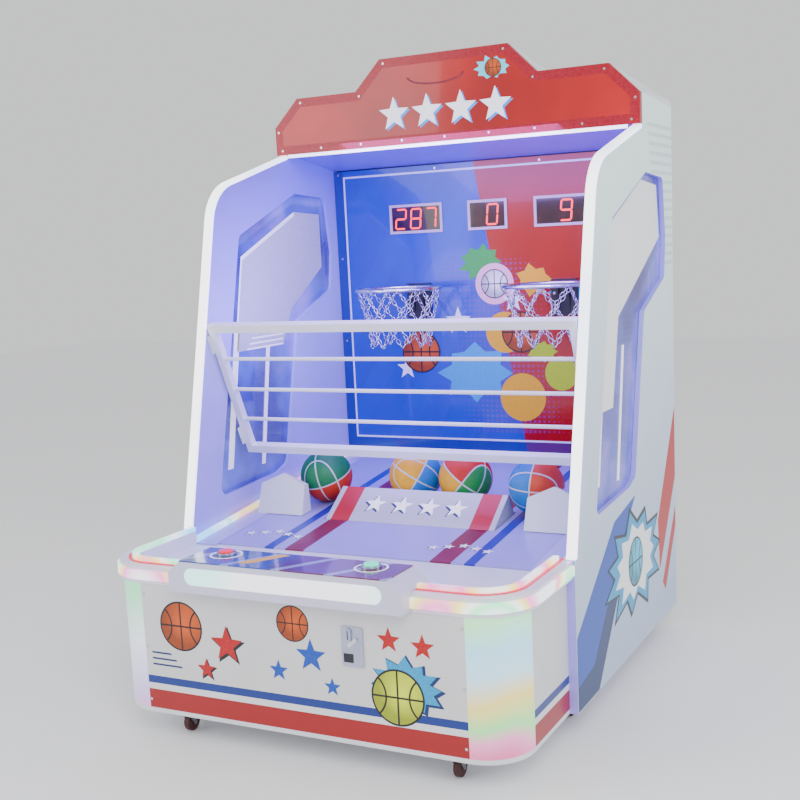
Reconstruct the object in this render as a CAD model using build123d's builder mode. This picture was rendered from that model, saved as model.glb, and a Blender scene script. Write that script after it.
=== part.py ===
from build123d import *
from math import atan, cos, degrees, radians, sin, sqrt
import os

os.makedirs("parts", exist_ok=True)

# Frame: millimetres, X across with 0 on the plane of symmetry, -Y towards the player, +Z up,
# Z = 0 on the floor. The origin is under the middle of the overall box.

# ---- driving dimensions -------------------------------------------------------------------
HALF_W = 750.0  # half of the overall width
FRONT_Y = -876.0  # front of the control console
REAR_Y = 876.0  # rearmost point, the barrels of the door hinges
BACK_Y = 866.0  # outside of the back panel
TOP_Z = 2279.0  # top of the marquee
BASE_Z = 96.0  # underside of the base board, on the casters
BOARD = 15.0  # base board thickness

PANEL_Y = -814.0  # outside of the lower front panel
LOWER_HALF_W = 722.0  # half width of the lower cabinet
CORNER_R = 146.5  # outside radius of its lit corners
SKIN = 12.0  # thickness of the lower panels
RIM_BOTTOM = 535.0
RIM_TOP = 592.0
RIM_HALF_W = 742.0
RIM_FRONT_Y = -817.0
RIM_CORNER_R = 165.0
BAND = 60.0  # width of the raised rim band
APRON_TOP = 543.0  # recessed floor inside the rim band

TALL_FRONT_Y = -365.5  # foot of the tall side panels
TALL_T = 35.0  # their thickness
INNER_X = HALF_W - TALL_T
LEAN_FOOT = (-350.0, RIM_TOP)  # Y, Z where the tall front edge leaves the rim
LEAN_TOP = (-59.0, 1812.0)  # Y, Z of the corner of the tall front edge
ROOF_FOOT = (467.0, 1955.0)  # Y, Z where the slanted edge meets the marquee
EDGE_R = 190.0  # rounding of that corner
ROOF_FRONT_Z = 2062.0
ROOF_REAR_Z = 2040.0

DECK_FRONT_Y = -344.0
DECK_FRONT_Z = 548.0
DECK_RISE = 0.105  # slope of the ball deck, mm per mm
DECK_T = 15.0
DECK_HALF_W = 600.0
BACKBOARD_Y = 826.0  # playing face of the backboard
BOARD_HALF_W = 713.0

GATE_Y = -12.0  # hinge line of the ball gate
GATE_HALF_W = 340.0
GATE_DROP = 30.0  # hinge line below the deck surface
GATE_PLATE = 177.0  # hinge line to the gate's rear edge, along the deck
GATE_LIFT = 28.0  # degrees that the gate stands above the deck

RING_X = 324.0
RING_Y = 630.0
RING_Z = 1398.0
RING_R = 171.0  # centre line of the ring's bar
RING_BAR = 8.0  # radius of that bar

MARQUEE_Y = 440.0  # front of the marquee
MARQUEE_T = 25.0
MARQUEE_HALF = [(750.0, 1955.0), (750.0, 2062.0), (641.0, 2169.0), (374.0, 2169.0), (263.0, 2279.0)]

BALL_R = 101.0  # size 4 basketball
BALL_WALL = 3.0  # rubber and bladder; the ball is full of air
CASTER_R = 31.5  # 2.5 inch caster wheel


def deck_z(y):
    """Height of the ball deck's top surface."""
    return DECK_FRONT_Z + DECK_RISE * (y - DECK_FRONT_Y)


def bar(x0, x1, y0, y1, z0, z1):
    """Add a rectangular solid between two corners to the part being built."""
    with Locations(((x0 + x1) / 2, (y0 + y1) / 2, (z0 + z1) / 2)):
        Box(abs(x1 - x0), abs(y1 - y0), abs(z1 - z0))


def cut(x0, x1, y0, y1, z0, z1):
    """Take a rectangular space out of the part being built."""
    with Locations(((x0 + x1) / 2, (y0 + y1) / 2, (z0 + z1) / 2)):
        Box(abs(x1 - x0), abs(y1 - y0), abs(z1 - z0), mode=Mode.SUBTRACT)


def save(builder, name):
    """Label a finished piece and write it."""
    builder.part.label = name
    export_step(builder.part, "parts/" + name + ".step")


def save_group(builders, name):
    """Write several touching solids as one node, without fusing them."""
    group = Compound(label=name, children=[builder.part.solid() for builder in builders])
    export_step(group, "parts/" + name + ".step")


def side_plane(x):
    """Plane across X whose sketch axes are Y and Z."""
    return Plane(origin=(x, 0, 0), x_dir=(0, 1, 0), z_dir=(1, 0, 0))


def front_plane(y):
    """Plane across Y whose sketch axes are X and Z, extruded towards the rear."""
    return Plane(origin=(0, y, 0), x_dir=(1, 0, 0), z_dir=(0, -1, 0))


def along_deck(x0, x1, y0, y1, low, high):
    """Solid between two heights above the deck surface, following its slope."""
    with BuildSketch(side_plane(x0)) as profile:
        with BuildLine():
            Polyline(
                (y0, deck_z(y0) + low),
                (y1, deck_z(y1) + low),
                (y1, deck_z(y1) + high),
                (y0, deck_z(y0) + high),
                close=True,
            )
        make_face()
    extrude(profile.sketch, amount=x1 - x0)


# ---- base ---------------------------------------------------------------------------------
REAR_INNER_Y = BACK_Y - SKIN
TUBE = 40.0
TUBE_WALL = 3.0
RAIL_X = 690.0
TUBE_Z0 = BASE_Z + BOARD  # top of the base board, where the frame stands
SPEAKER_X = 220.0  # the speakers face down through the base board
SPEAKER_Y = 120.0

with BuildPart() as base_board:
    with BuildSketch(Plane.XY.offset(BASE_Z)):
        with BuildLine():
            Polyline(
                (-LOWER_HALF_W, TALL_FRONT_Y),
                (-LOWER_HALF_W, PANEL_Y),
                (LOWER_HALF_W, PANEL_Y),
                (LOWER_HALF_W, TALL_FRONT_Y),
                (INNER_X, TALL_FRONT_Y),
                (INNER_X, REAR_INNER_Y),
                (-INNER_X, REAR_INNER_Y),
                (-INNER_X, TALL_FRONT_Y),
                close=True,
            )
        make_face()
    extrude(amount=BOARD)
    fillet(base_board.edges().filter_by(Axis.Z).group_by(Axis.Y)[0], CORNER_R)
    for x in (-SPEAKER_X, SPEAKER_X):
        with Locations((x, SPEAKER_Y, BASE_Z)):
            Cylinder(52, 4 * BOARD, mode=Mode.SUBTRACT)
save(base_board, "base_board")

up = (Align.CENTER, Align.CENTER, Align.MIN)
with BuildPart() as speakers:
    for x in (-SPEAKER_X, SPEAKER_X):
        with Locations((x, SPEAKER_Y, TUBE_Z0)):
            Cylinder(65, 4, align=up)
            Cylinder(46, 28, align=up)
            Cylinder(32, 46, align=up)
        with Locations((x, SPEAKER_Y, TUBE_Z0)):
            Cylinder(40, 6, align=up, mode=Mode.SUBTRACT)
save(speakers, "speakers")


def tube_x(x0, x1, y, z):
    """Square tube along X; y and z are its low corner."""
    bar(x0, x1, y, y + TUBE, z, z + TUBE)
    cut(x0, x1, y + TUBE_WALL, y + TUBE - TUBE_WALL, z + TUBE_WALL, z + TUBE - TUBE_WALL)


def tube_y(y0, y1, x, z):
    """Square tube along Y; x and z are its low corner."""
    bar(x, x + TUBE, y0, y1, z, z + TUBE)
    cut(x + TUBE_WALL, x + TUBE - TUBE_WALL, y0, y1, z + TUBE_WALL, z + TUBE - TUBE_WALL)


def tube_z(z0, z1, x, y):
    """Square tube along Z; x and y are its low corner."""
    bar(x, x + TUBE, y, y + TUBE, z0, z1)
    cut(x + TUBE_WALL, x + TUBE - TUBE_WALL, y + TUBE_WALL, y + TUBE - TUBE_WALL, z0, z1)


FRAME_FRONT_Y = -800.0
SEAM_Y = -345.0
FRAME_REAR_Y = REAR_INNER_Y - TUBE
POST_X = 520.0
TOP_RAIL_Z = 470.0
REAR_RAIL_Z = 595.0
tubes = []
for y in (FRAME_FRONT_Y, SEAM_Y, FRAME_REAR_Y):
    half = 560.0 if y == FRAME_FRONT_Y else RAIL_X
    with BuildPart() as tube:
        tube_x(-half, half, y, TUBE_Z0)
    tubes.append(tube)
for side in (-1, 1):
    rail = side * (RAIL_X - TUBE / 2) - TUBE / 2
    for y0, y1 in ((-660.0, SEAM_Y), (SEAM_Y + TUBE, FRAME_REAR_Y)):
        with BuildPart() as tube:
            tube_y(y0, y1, rail, TUBE_Z0)
        tubes.append(tube)
    post = side * (POST_X + TUBE / 2) - TUBE / 2
    posts = (
        (post, FRAME_FRONT_Y, TOP_RAIL_Z),
        (rail, SEAM_Y, TOP_RAIL_Z),
        (rail, FRAME_REAR_Y, REAR_RAIL_Z),
    )
    for x, y, top in posts:
        with BuildPart() as tube:
            tube_z(TUBE_Z0 + TUBE, top, x, y)
        tubes.append(tube)
for y, z in ((FRAME_FRONT_Y, TOP_RAIL_Z), (SEAM_Y, TOP_RAIL_Z), (FRAME_REAR_Y, REAR_RAIL_Z)):
    half = 560.0 if y == FRAME_FRONT_Y else RAIL_X
    with BuildPart() as tube:
        tube_x(-half, half, y, z)
    tubes.append(tube)
save_group(tubes, "base_frame")

# ---- lower panels -------------------------------------------------------------------------
STRIP_X = LOWER_HALF_W - CORNER_R
COIN_X = 209.0
COIN_Z = 407.0
COIN_W = 74.0
COIN_H = 124.0

with BuildPart() as front_panel:
    bar(-STRIP_X, STRIP_X, PANEL_Y, PANEL_Y + SKIN, TUBE_Z0, RIM_BOTTOM)
    cut(COIN_X - 34, COIN_X + 28, PANEL_Y, PANEL_Y + SKIN, COIN_Z - 54, COIN_Z + 52)
save(front_panel, "front_panel")

CORNER_Y = PANEL_Y + CORNER_R
with BuildPart() as lower_side_panels:
    for side in (-1, 1):
        inside = side * (LOWER_HALF_W - SKIN)
        bar(inside, side * LOWER_HALF_W, CORNER_Y, TALL_FRONT_Y, TUBE_Z0, RIM_BOTTOM)
save(lower_side_panels, "lower_side_panels")

COVER_T = 4.0
with BuildPart() as corner_lights:
    with BuildSketch(Plane.XY.offset(TUBE_Z0)):
        with Locations((-STRIP_X, CORNER_Y), (STRIP_X, CORNER_Y)):
            Circle(CORNER_R)
            Circle(CORNER_R - COVER_T, mode=Mode.SUBTRACT)
        with Locations((0, CORNER_Y + 200)):
            Rectangle(2 * HALF_W, 400, mode=Mode.SUBTRACT)
        Rectangle(2 * STRIP_X, 4 * HALF_W, mode=Mode.SUBTRACT)
    extrude(amount=RIM_BOTTOM - TUBE_Z0)
save(corner_lights, "corner_lights")

# ---- rim ----------------------------------------------------------------------------------
CONSOLE_HALF = 412.0
CONSOLE_REAR_Y = -702.0


def rim_outline(inset, mode=Mode.ADD):
    """Outline of the rim, moved inwards by inset; it runs on behind the tall panels."""
    half = RIM_HALF_W - inset
    front = RIM_FRONT_Y + inset
    with Locations((0, (front + TALL_FRONT_Y + RIM_CORNER_R) / 2)):
        RectangleRounded(2 * half, TALL_FRONT_Y - front + RIM_CORNER_R, RIM_CORNER_R - inset, mode=mode)


def rim_clear(z0, z1):
    """Cut away what the rim outline leaves behind the tall panels, and the console's notch."""
    cut(-HALF_W, HALF_W, TALL_FRONT_Y, TALL_FRONT_Y + 300, z0, z1)
    cut(-CONSOLE_HALF, CONSOLE_HALF, FRONT_Y, CONSOLE_REAR_Y, z0, z1)


with BuildPart() as rim_shelf:
    with BuildSketch(Plane.XY.offset(RIM_BOTTOM)):
        rim_outline(0)
    extrude(amount=RIM_TOP - RIM_BOTTOM)
    with BuildSketch(Plane.XY.offset(APRON_TOP)):
        rim_outline(BAND)
    extrude(amount=RIM_TOP - APRON_TOP, mode=Mode.SUBTRACT)
    rim_clear(RIM_BOTTOM, RIM_TOP)
    bar(-DECK_HALF_W + 1, DECK_HALF_W - 1, TALL_FRONT_Y, DECK_FRONT_Y - 1, RIM_BOTTOM, APRON_TOP)
save(rim_shelf, "rim_shelf")

TUBE_LIGHT = 8.0  # how far the lit strip stands proud of the rim
TUBE_LIGHT_Z = RIM_BOTTOM + 13
TUBE_LIGHT_H = 31.0
LIP = 18.0  # width of the lit lip on the rim's inner edge, and of the lit strips on the kerbs
LIP_H = 15.0
KERB_LIGHT_X = 684.0
KERB_LIGHT_H = 18.0
KERB_TOP = 2.0  # height of the kerbs above the deck
KERB_Y0 = TALL_FRONT_Y + 1
DECK_REAR_Y = BACKBOARD_Y - 2
with BuildPart() as rim_lights:
    with BuildSketch(Plane.XY.offset(TUBE_LIGHT_Z)):
        rim_outline(-TUBE_LIGHT)
        rim_outline(0, Mode.SUBTRACT)
    extrude(amount=TUBE_LIGHT_H)
    with BuildSketch(Plane.XY.offset(RIM_TOP)):
        rim_outline(BAND - LIP)
        rim_outline(BAND, Mode.SUBTRACT)
    extrude(amount=LIP_H)
    rim_clear(RIM_BOTTOM, RIM_TOP + LIP_H)
    for x in (KERB_LIGHT_X, -KERB_LIGHT_X - LIP):
        along_deck(x, x + LIP, KERB_Y0, DECK_REAR_Y, KERB_TOP, KERB_TOP + KERB_LIGHT_H)
save(rim_lights, "rim_lights")

# ---- deck ---------------------------------------------------------------------------------
SLOT_HALF_W = GATE_HALF_W + 6
SLOT_Y0 = GATE_Y - 20
SLOT_Y1 = GATE_Y + GATE_PLATE + 8
with BuildPart() as play_deck:
    along_deck(-DECK_HALF_W, DECK_HALF_W, DECK_FRONT_Y, DECK_REAR_Y, -DECK_T, 0)
    bar(-DECK_HALF_W, DECK_HALF_W, DECK_FRONT_Y, DECK_FRONT_Y + 12, APRON_TOP, deck_z(DECK_FRONT_Y) - 2)
    cut(-SLOT_HALF_W, SLOT_HALF_W, SLOT_Y0, SLOT_Y1, 400, 700)
save(play_deck, "play_deck")

with BuildPart() as deck_kerbs:
    along_deck(DECK_HALF_W + 1, INNER_X - 1, KERB_Y0, DECK_REAR_Y, -25, KERB_TOP)
    along_deck(-INNER_X + 1, -DECK_HALF_W - 1, KERB_Y0, DECK_REAR_Y, -25, KERB_TOP)
save(deck_kerbs, "deck_kerbs")

BLOCK_X0 = 447.0
BLOCK_X1 = 648.0
BLOCK_Y0 = -20.0
BLOCK_SECTIONS = (
    (-4.0, 0.0, 70.0, 0.0),
    (112.0, 38.0, 64.0, 4.0),
    (152.0, 50.0, 58.0, 96.0),
)  # height above the deck, front and rear from BLOCK_Y0, narrowing of each side
block_foot = Plane(
    origin=(0, BLOCK_Y0, deck_z(BLOCK_Y0) + KERB_TOP + 0.3),
    x_dir=(1, 0, 0),
    z_dir=(0, -DECK_RISE, 1),
)


def block_section(x, height, front, rear, narrow):
    """Rectangular section of a side block at a height above the deck; returns the sketch."""
    with BuildSketch(Plane.XY.offset(deck_z(BLOCK_Y0) + height)) as section:
        with Locations((x, BLOCK_Y0 + (front + rear) / 2)):
            Rectangle(BLOCK_X1 - BLOCK_X0 - 2 * narrow, rear - front)
    return section.sketch


with BuildPart() as side_blocks:
    for side in (-1, 1):
        middle = side * (BLOCK_X0 + BLOCK_X1) / 2
        foot, waist, peak = [block_section(middle, *section) for section in BLOCK_SECTIONS]
        loft([foot, waist])
        loft([waist, peak])
    split(bisect_by=block_foot, keep=Keep.TOP)
save(side_blocks, "side_blocks")

# ---- ball gate ----------------------------------------------------------------------------
# A folded cover on a torque shaft. Its rear wall is an arc about the hinge line, so the slot
# in the deck stays closed while the gate sinks into it.
GATE_Z = deck_z(GATE_Y) - GATE_DROP
DECK_ANGLE = degrees(atan(DECK_RISE))
GATE_T = 4.0
SHAFT_R = 8.0
SHAFT_FIT = 0.06
GATE_FACE = GATE_DROP - 0.5
GATE_RADIUS = sqrt(GATE_PLATE**2 + GATE_FACE**2)


def gate_plane(x):
    """Plane across the hinge line; its X runs along the gate's top plate."""
    tilt = radians(DECK_ANGLE + GATE_LIFT)
    return Plane(origin=(x, GATE_Y, GATE_Z), x_dir=(0, cos(tilt), sin(tilt)), z_dir=(1, 0, 0))


def gate_profile(inset, front, low_angle, heel):
    """Closed outline of the gate, or of its hollow when it is moved inwards."""
    radius = GATE_RADIUS - inset
    face = GATE_FACE - inset
    corner = (sqrt(radius**2 - face**2), face)
    middle = (radius * cos(radians(low_angle / 3)), radius * sin(radians(low_angle / 3)))
    low = (radius * cos(radians(low_angle)), radius * sin(radians(low_angle)))
    with BuildLine() as outline:
        Line((front, face), corner)
        ThreePointArc(corner, middle, low)
        Polyline(low, heel, (front, face))
    make_face(outline.edges())


with BuildPart() as ball_gate:
    with BuildSketch(gate_plane(-GATE_HALF_W)):
        gate_profile(0, 4, -GATE_LIFT - 8, (0, -SHAFT_R))
    extrude(amount=2 * GATE_HALF_W)
    with BuildSketch(gate_plane(-GATE_HALF_W + GATE_T)):
        gate_profile(GATE_T, 16, -GATE_LIFT - 20, (16, -150))
    extrude(amount=2 * (GATE_HALF_W - GATE_T), mode=Mode.SUBTRACT)
    with Locations(Plane(origin=(0, GATE_Y, GATE_Z), z_dir=(1, 0, 0))):
        Cylinder(SHAFT_R, 2 * GATE_HALF_W + 80)
save(ball_gate, "ball_gate")

BEARING_X = GATE_HALF_W + 22
with BuildPart() as gate_drive:
    for side in (-1, 1):
        x = side * BEARING_X
        bar(x - 10, x + 10, GATE_Y - 20, GATE_Y + 20, GATE_Z - 20, GATE_Z + GATE_DROP - DECK_T - 3)
    with Locations(Plane(origin=(0, GATE_Y, GATE_Z), z_dir=(1, 0, 0))):
        Cylinder(SHAFT_R + SHAFT_FIT, 4 * GATE_HALF_W, mode=Mode.SUBTRACT)
    bar(382, 400, GATE_Y - 30, GATE_Y + 30, GATE_Z - 60, GATE_Z + GATE_DROP - DECK_T - 4)
    with Locations(Plane(origin=(440, GATE_Y, GATE_Z - 30), z_dir=(1, 0, 0))):
        Cylinder(26, 80)
save(gate_drive, "gate_drive")

# ---- tall side panels ---------------------------------------------------------------------
EDGE_T = 14.0  # depth of the lit front edge


def corner_between(inset):
    """Corner of the tall front edge when both straight stretches move inwards."""
    foot_y, foot_z = LEAN_FOOT
    top_y, top_z = LEAN_TOP
    roof_y, roof_z = ROOF_FOOT
    lean = sqrt((top_y - foot_y) ** 2 + (top_z - foot_z) ** 2)
    slant = sqrt((roof_y - top_y) ** 2 + (roof_z - top_z) ** 2)
    ly, lz = (top_y - foot_y) / lean, (top_z - foot_z) / lean
    sy, sz = (roof_y - top_y) / slant, (roof_z - top_z) / slant
    turn = ly * sz - lz * sy
    along = inset * (1 - (ly * sy + lz * sz)) / -turn
    return (top_y + lz * inset - ly * along, top_z - ly * inset - lz * along)


def tall_sketch(inset):
    """Side of a tall panel with its front corner rounded; the lit edge moves inwards by inset."""
    corner = corner_between(inset)
    with BuildSketch() as outline:
        with BuildLine():
            Polyline(
                (TALL_FRONT_Y, BASE_Z),
                (TALL_FRONT_Y, RIM_TOP),
                (LEAN_FOOT[0] + inset, RIM_TOP),
                corner,
                (ROOF_FOOT[0], ROOF_FOOT[1] - inset),
                (ROOF_FOOT[0], ROOF_FRONT_Z),
                (BACK_Y, ROOF_REAR_Z),
                (BACK_Y, BASE_Z),
                close=True,
            )
        make_face()
        fillet(outline.vertices().sort_by_distance(Vector(*corner))[0], EDGE_R - inset)
    return outline.sketch


WINDOW = [
    (-142, 682),
    (91, 1630),
    (500, 1791),
    (729, 1776),
    (760, 1560),
    (738, 1410),
    (456, 1302),
    (311, 727),
    (236, 702),
]
WINDOW_R = 24.0
REBATE = 12.0


def window_outline(grow):
    """Window opening in a side panel, made larger by grow."""
    with BuildLine() as outline:
        Polyline(*WINDOW, close=True)
    face = make_face(outline.edges())
    fillet(face.vertices(), WINDOW_R)
    if grow:
        offset(amount=grow)


def side_panel(side):
    """One tall side panel with its window opening and the rebate for the pane."""
    x0 = INNER_X if side > 0 else -HALF_W
    deep = x0 if side > 0 else x0 + 18
    with BuildPart() as panel:
        with BuildSketch(side_plane(x0)):
            add(tall_sketch(EDGE_T))
        extrude(amount=TALL_T)
        with BuildSketch(side_plane(x0)):
            window_outline(0)
        extrude(amount=TALL_T, mode=Mode.SUBTRACT)
        with BuildSketch(side_plane(deep)):
            window_outline(REBATE)
        extrude(amount=17, mode=Mode.SUBTRACT)
    return panel


side_panel_right = side_panel(1)
save(side_panel_right, "side_panel_right")
side_panel_left = side_panel(-1)
save(side_panel_left, "side_panel_left")

with BuildPart() as side_windows:
    for x in (INNER_X + 12, -INNER_X - 16):
        with BuildSketch(side_plane(x)):
            window_outline(REBATE - 1)
        extrude(amount=4)
save(side_windows, "side_windows")

with BuildPart() as edge_lights:
    for x in (INNER_X + 2, -HALF_W + 2):
        with BuildSketch(side_plane(x)):
            add(tall_sketch(0))
            add(tall_sketch(EDGE_T), mode=Mode.SUBTRACT)
        extrude(amount=TALL_T - 4)
    bar(-700, 700, MARQUEE_Y + 4, MARQUEE_Y + 20, MARQUEE_HALF[0][1] - 12, MARQUEE_HALF[0][1])
save(edge_lights, "edge_lights")

# ---- back panel, service door -------------------------------------------------------------
DOOR_HALF_W = 299.0
DOOR_Z0 = 221.0
DOOR_Z1 = 999.0
DOOR_GAP = 3.0
INLET_X = 480.0
INLET_Z = 190.0
HINGE_X = -305.0
HINGE_Y = 871.0
HINGE_R = 5.0
HINGE_PIN = 2.5
HINGE_HEIGHTS = (340.0, 880.0)
KNUCKLE = 25.0

with BuildPart() as back_panel:
    bar(-INNER_X + 0.5, INNER_X - 0.5, BACK_Y - SKIN, BACK_Y, TUBE_Z0, ROOF_REAR_Z - 8)
    gap_half = DOOR_HALF_W + DOOR_GAP
    cut(-gap_half, gap_half, BACK_Y - SKIN, BACK_Y, DOOR_Z0 - DOOR_GAP, DOOR_Z1 + DOOR_GAP)
    cut(INLET_X - 14.5, INLET_X + 14.5, BACK_Y - SKIN, BACK_Y, INLET_Z - 11, INLET_Z + 11)
    for row in range(6):
        for column in (-1, 1):
            z = 1120 + 24 * row
            cut(column * 420 - 90, column * 420 + 90, BACK_Y - SKIN, BACK_Y, z, z + 8)
save(back_panel, "back_panel")

LOCK_X = 266.0
LOCK_Z = 500.0
LOCK_R = 9.0
with BuildPart() as service_door:
    bar(-DOOR_HALF_W, DOOR_HALF_W, BACK_Y - 10, BACK_Y, DOOR_Z0, DOOR_Z1)
    with Locations(Plane(origin=(LOCK_X, BACK_Y, LOCK_Z), z_dir=(0, 1, 0))):
        Cylinder(LOCK_R + SHAFT_FIT, 60, mode=Mode.SUBTRACT)
    for z in HINGE_HEIGHTS:
        bar(HINGE_X, HINGE_X + 45, BACK_Y, BACK_Y + 2, z - KNUCKLE / 2 + 0.5, z + KNUCKLE / 2 - 0.5)
        with Locations((HINGE_X, HINGE_Y, z)):
            Cylinder(HINGE_R, KNUCKLE - 1)
        with Locations((HINGE_X, HINGE_Y, z)):
            Cylinder(HINGE_PIN + SHAFT_FIT, 2 * KNUCKLE, mode=Mode.SUBTRACT)
save(service_door, "service_door")

with BuildPart() as door_hinges:
    for z in HINGE_HEIGHTS:
        for level in (z - KNUCKLE, z + KNUCKLE):
            with Locations((HINGE_X, HINGE_Y, level)):
                Cylinder(HINGE_R, KNUCKLE)
            bar(HINGE_X - 45, HINGE_X, BACK_Y, BACK_Y + 2, level - KNUCKLE / 2, level + KNUCKLE / 2)
        bar(HINGE_X - 45, HINGE_X - 8, BACK_Y, BACK_Y + 2, z - KNUCKLE / 2, z + KNUCKLE / 2)
        with Locations((HINGE_X, HINGE_Y, z)):
            Cylinder(HINGE_PIN, 3 * KNUCKLE)
save(door_hinges, "door_hinges")

with BuildPart() as door_lock:
    with Locations(Plane(origin=(LOCK_X, BACK_Y - 10, LOCK_Z), z_dir=(0, 1, 0))):
        Cylinder(LOCK_R, 26)
    with Locations(Plane(origin=(LOCK_X, BACK_Y + 4, LOCK_Z), z_dir=(0, 1, 0))):
        Cylinder(12.5, 3)
    bar(LOCK_X - 8, LOCK_X + 8, BACK_Y - 17, BACK_Y - 14, LOCK_Z - 44, LOCK_Z + 8)
    cut(LOCK_X - 1, LOCK_X + 1, BACK_Y + 3, BACK_Y + 6, LOCK_Z - 4, LOCK_Z + 4)
save(door_lock, "door_lock")

with BuildPart() as power_inlet:
    bar(INLET_X - 24, INLET_X + 24, BACK_Y, BACK_Y + 3, INLET_Z - 15, INLET_Z + 15)
    bar(INLET_X - 14, INLET_X + 14, BACK_Y - 26, BACK_Y, INLET_Z - 10.5, INLET_Z + 10.5)
    cut(INLET_X - 12, INLET_X + 12, BACK_Y - 16, BACK_Y + 3, INLET_Z - 8.5, INLET_Z + 8.5)
    for offset_x in (-7.0, 0.0, 7.0):
        x = INLET_X + offset_x
        bar(x - 1, x + 1, BACK_Y - 16, BACK_Y - 2, INLET_Z - 3, INLET_Z + 3)
save(power_inlet, "power_inlet")

# ---- roof, marquee, soffit ----------------------------------------------------------------
ROOF_Y0 = MARQUEE_Y + MARQUEE_T
ROOF_T = 12.0
ROOF_LIP = 14.0


def roof_prism(points, front_z, rear_z, inset):
    """Wedge of roof between the marquee and the rear edge, as a new part."""
    outline = [(x - inset, z - inset * 0.45 if z > ROOF_FRONT_Z + 1 else z) for x, z in points]
    mirrored = [(-x, z) for x, z in reversed(outline)]
    y1 = BACK_Y - inset
    with BuildPart() as prism:
        with BuildSketch(front_plane(y1)):
            with BuildLine():
                Polyline(*outline, *mirrored, close=True)
            make_face()
        extrude(amount=y1 - ROOF_Y0)
        fall = (front_z - rear_z) / (BACK_Y - ROOF_Y0)
        top = Plane(origin=(0, ROOF_Y0, front_z - inset), x_dir=(1, 0, 0), z_dir=(0, fall, 1))
        split(bisect_by=top, keep=Keep.BOTTOM)
    return prism


SHOULDER = [(HALF_W, ROOF_REAR_Z - 40), (HALF_W, ROOF_FRONT_Z), MARQUEE_HALF[2]]
PEAK = [(MARQUEE_HALF[3][0], ROOF_REAR_Z - 40), MARQUEE_HALF[3], MARQUEE_HALF[4]]
outer_shoulder = roof_prism(SHOULDER, MARQUEE_HALF[2][1], ROOF_REAR_Z + ROOF_LIP, 0)
outer_peak = roof_prism(PEAK, TOP_Z, ROOF_REAR_Z + ROOF_LIP, 0)
inner_shoulder = roof_prism(SHOULDER, MARQUEE_HALF[2][1], ROOF_REAR_Z + ROOF_LIP, ROOF_T)
inner_peak = roof_prism(PEAK, TOP_Z, ROOF_REAR_Z + ROOF_LIP, ROOF_T)
with BuildPart() as roof_panel:
    add(outer_shoulder.part)
    add(outer_peak.part)
    add(inner_shoulder.part, mode=Mode.SUBTRACT)
    add(inner_peak.part, mode=Mode.SUBTRACT)
    fall = (ROOF_FRONT_Z - ROOF_REAR_Z) / (BACK_Y - ROOF_FOOT[0])
    panel_top = Plane(origin=(0, ROOF_FOOT[0], ROOF_FRONT_Z), x_dir=(1, 0, 0), z_dir=(0, fall, 1))
    split(bisect_by=panel_top, keep=Keep.TOP)
save(roof_panel, "roof_panel")

with BuildPart() as marquee_panel:
    with BuildSketch(front_plane(ROOF_Y0)):
        with BuildLine():
            Polyline(*MARQUEE_HALF, *[(-x, z) for x, z in reversed(MARQUEE_HALF)], close=True)
        make_face()
    extrude(amount=MARQUEE_T)
save(marquee_panel, "marquee_panel")

SOFFIT_Z0 = 1962.0
SOFFIT_Z1 = 1903.0
with BuildPart() as soffit_panel:
    with BuildSketch(side_plane(-INNER_X + 1)):
        with BuildLine():
            Polyline(
                (ROOF_Y0 + 1, SOFFIT_Z0),
                (BACKBOARD_Y + 4, SOFFIT_Z1),
                (BACKBOARD_Y + 4, SOFFIT_Z1 + 8),
                (ROOF_Y0 + 1, SOFFIT_Z0 + 8),
                close=True,
            )
        make_face()
    extrude(amount=2 * INNER_X - 2)
save(soffit_panel, "soffit_panel")

# ---- backboard, displays, hoops -----------------------------------------------------------
BACKBOARD_Z0 = 676.0
BACKBOARD_Z1 = 1898.0
DISPLAY_Z0 = 1631.0
DISPLAY_Z1 = 1734.0
DISPLAYS = ((-440.0, -212.0), (-78.0, 78.0), (212.0, 440.0))
BEZEL = 9.0

with BuildPart() as backboard:
    bar(-BOARD_HALF_W, BOARD_HALF_W, BACKBOARD_Y, BACKBOARD_Y + 6, BACKBOARD_Z0, BACKBOARD_Z1)
    for x0, x1 in DISPLAYS:
        cut(x0, x1, BACKBOARD_Y, BACKBOARD_Y + 6, DISPLAY_Z0, DISPLAY_Z1)
save(backboard, "backboard")

with BuildPart() as score_displays:
    for x0, x1 in DISPLAYS:
        bar(x0 - BEZEL, x1 + BEZEL, BACKBOARD_Y - 5, BACKBOARD_Y, DISPLAY_Z0 - BEZEL, DISPLAY_Z1 + BEZEL)
        bar(x0 + 1, x1 - 1, BACKBOARD_Y, BACKBOARD_Y + 24, DISPLAY_Z0 + 1, DISPLAY_Z1 - 1)
        cut(x0 + 2, x1 - 2, BACKBOARD_Y - 5, BACKBOARD_Y + 2, DISPLAY_Z0 + 2, DISPLAY_Z1 - 2)
save(score_displays, "score_displays")

BRACKET_HALF = 55.0
BRACKET_T = 10.0
STRUT_X = 42.0
with BuildPart() as hoop_rings:
    for side in (-1, 1):
        with Locations((side * RING_X, RING_Y, RING_Z)):
            Torus(RING_R, RING_BAR)
        for strut in (-STRUT_X, STRUT_X):
            y0 = RING_Y + sqrt(RING_R**2 - STRUT_X**2)
            y1 = BACKBOARD_Y - BRACKET_T
            spot = (side * RING_X + strut, (y0 + y1) / 2, RING_Z)
            with Locations(Plane(origin=spot, z_dir=(0, 1, 0))):
                Cylinder(6, y1 - y0)
save(hoop_rings, "hoop_rings")

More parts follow.
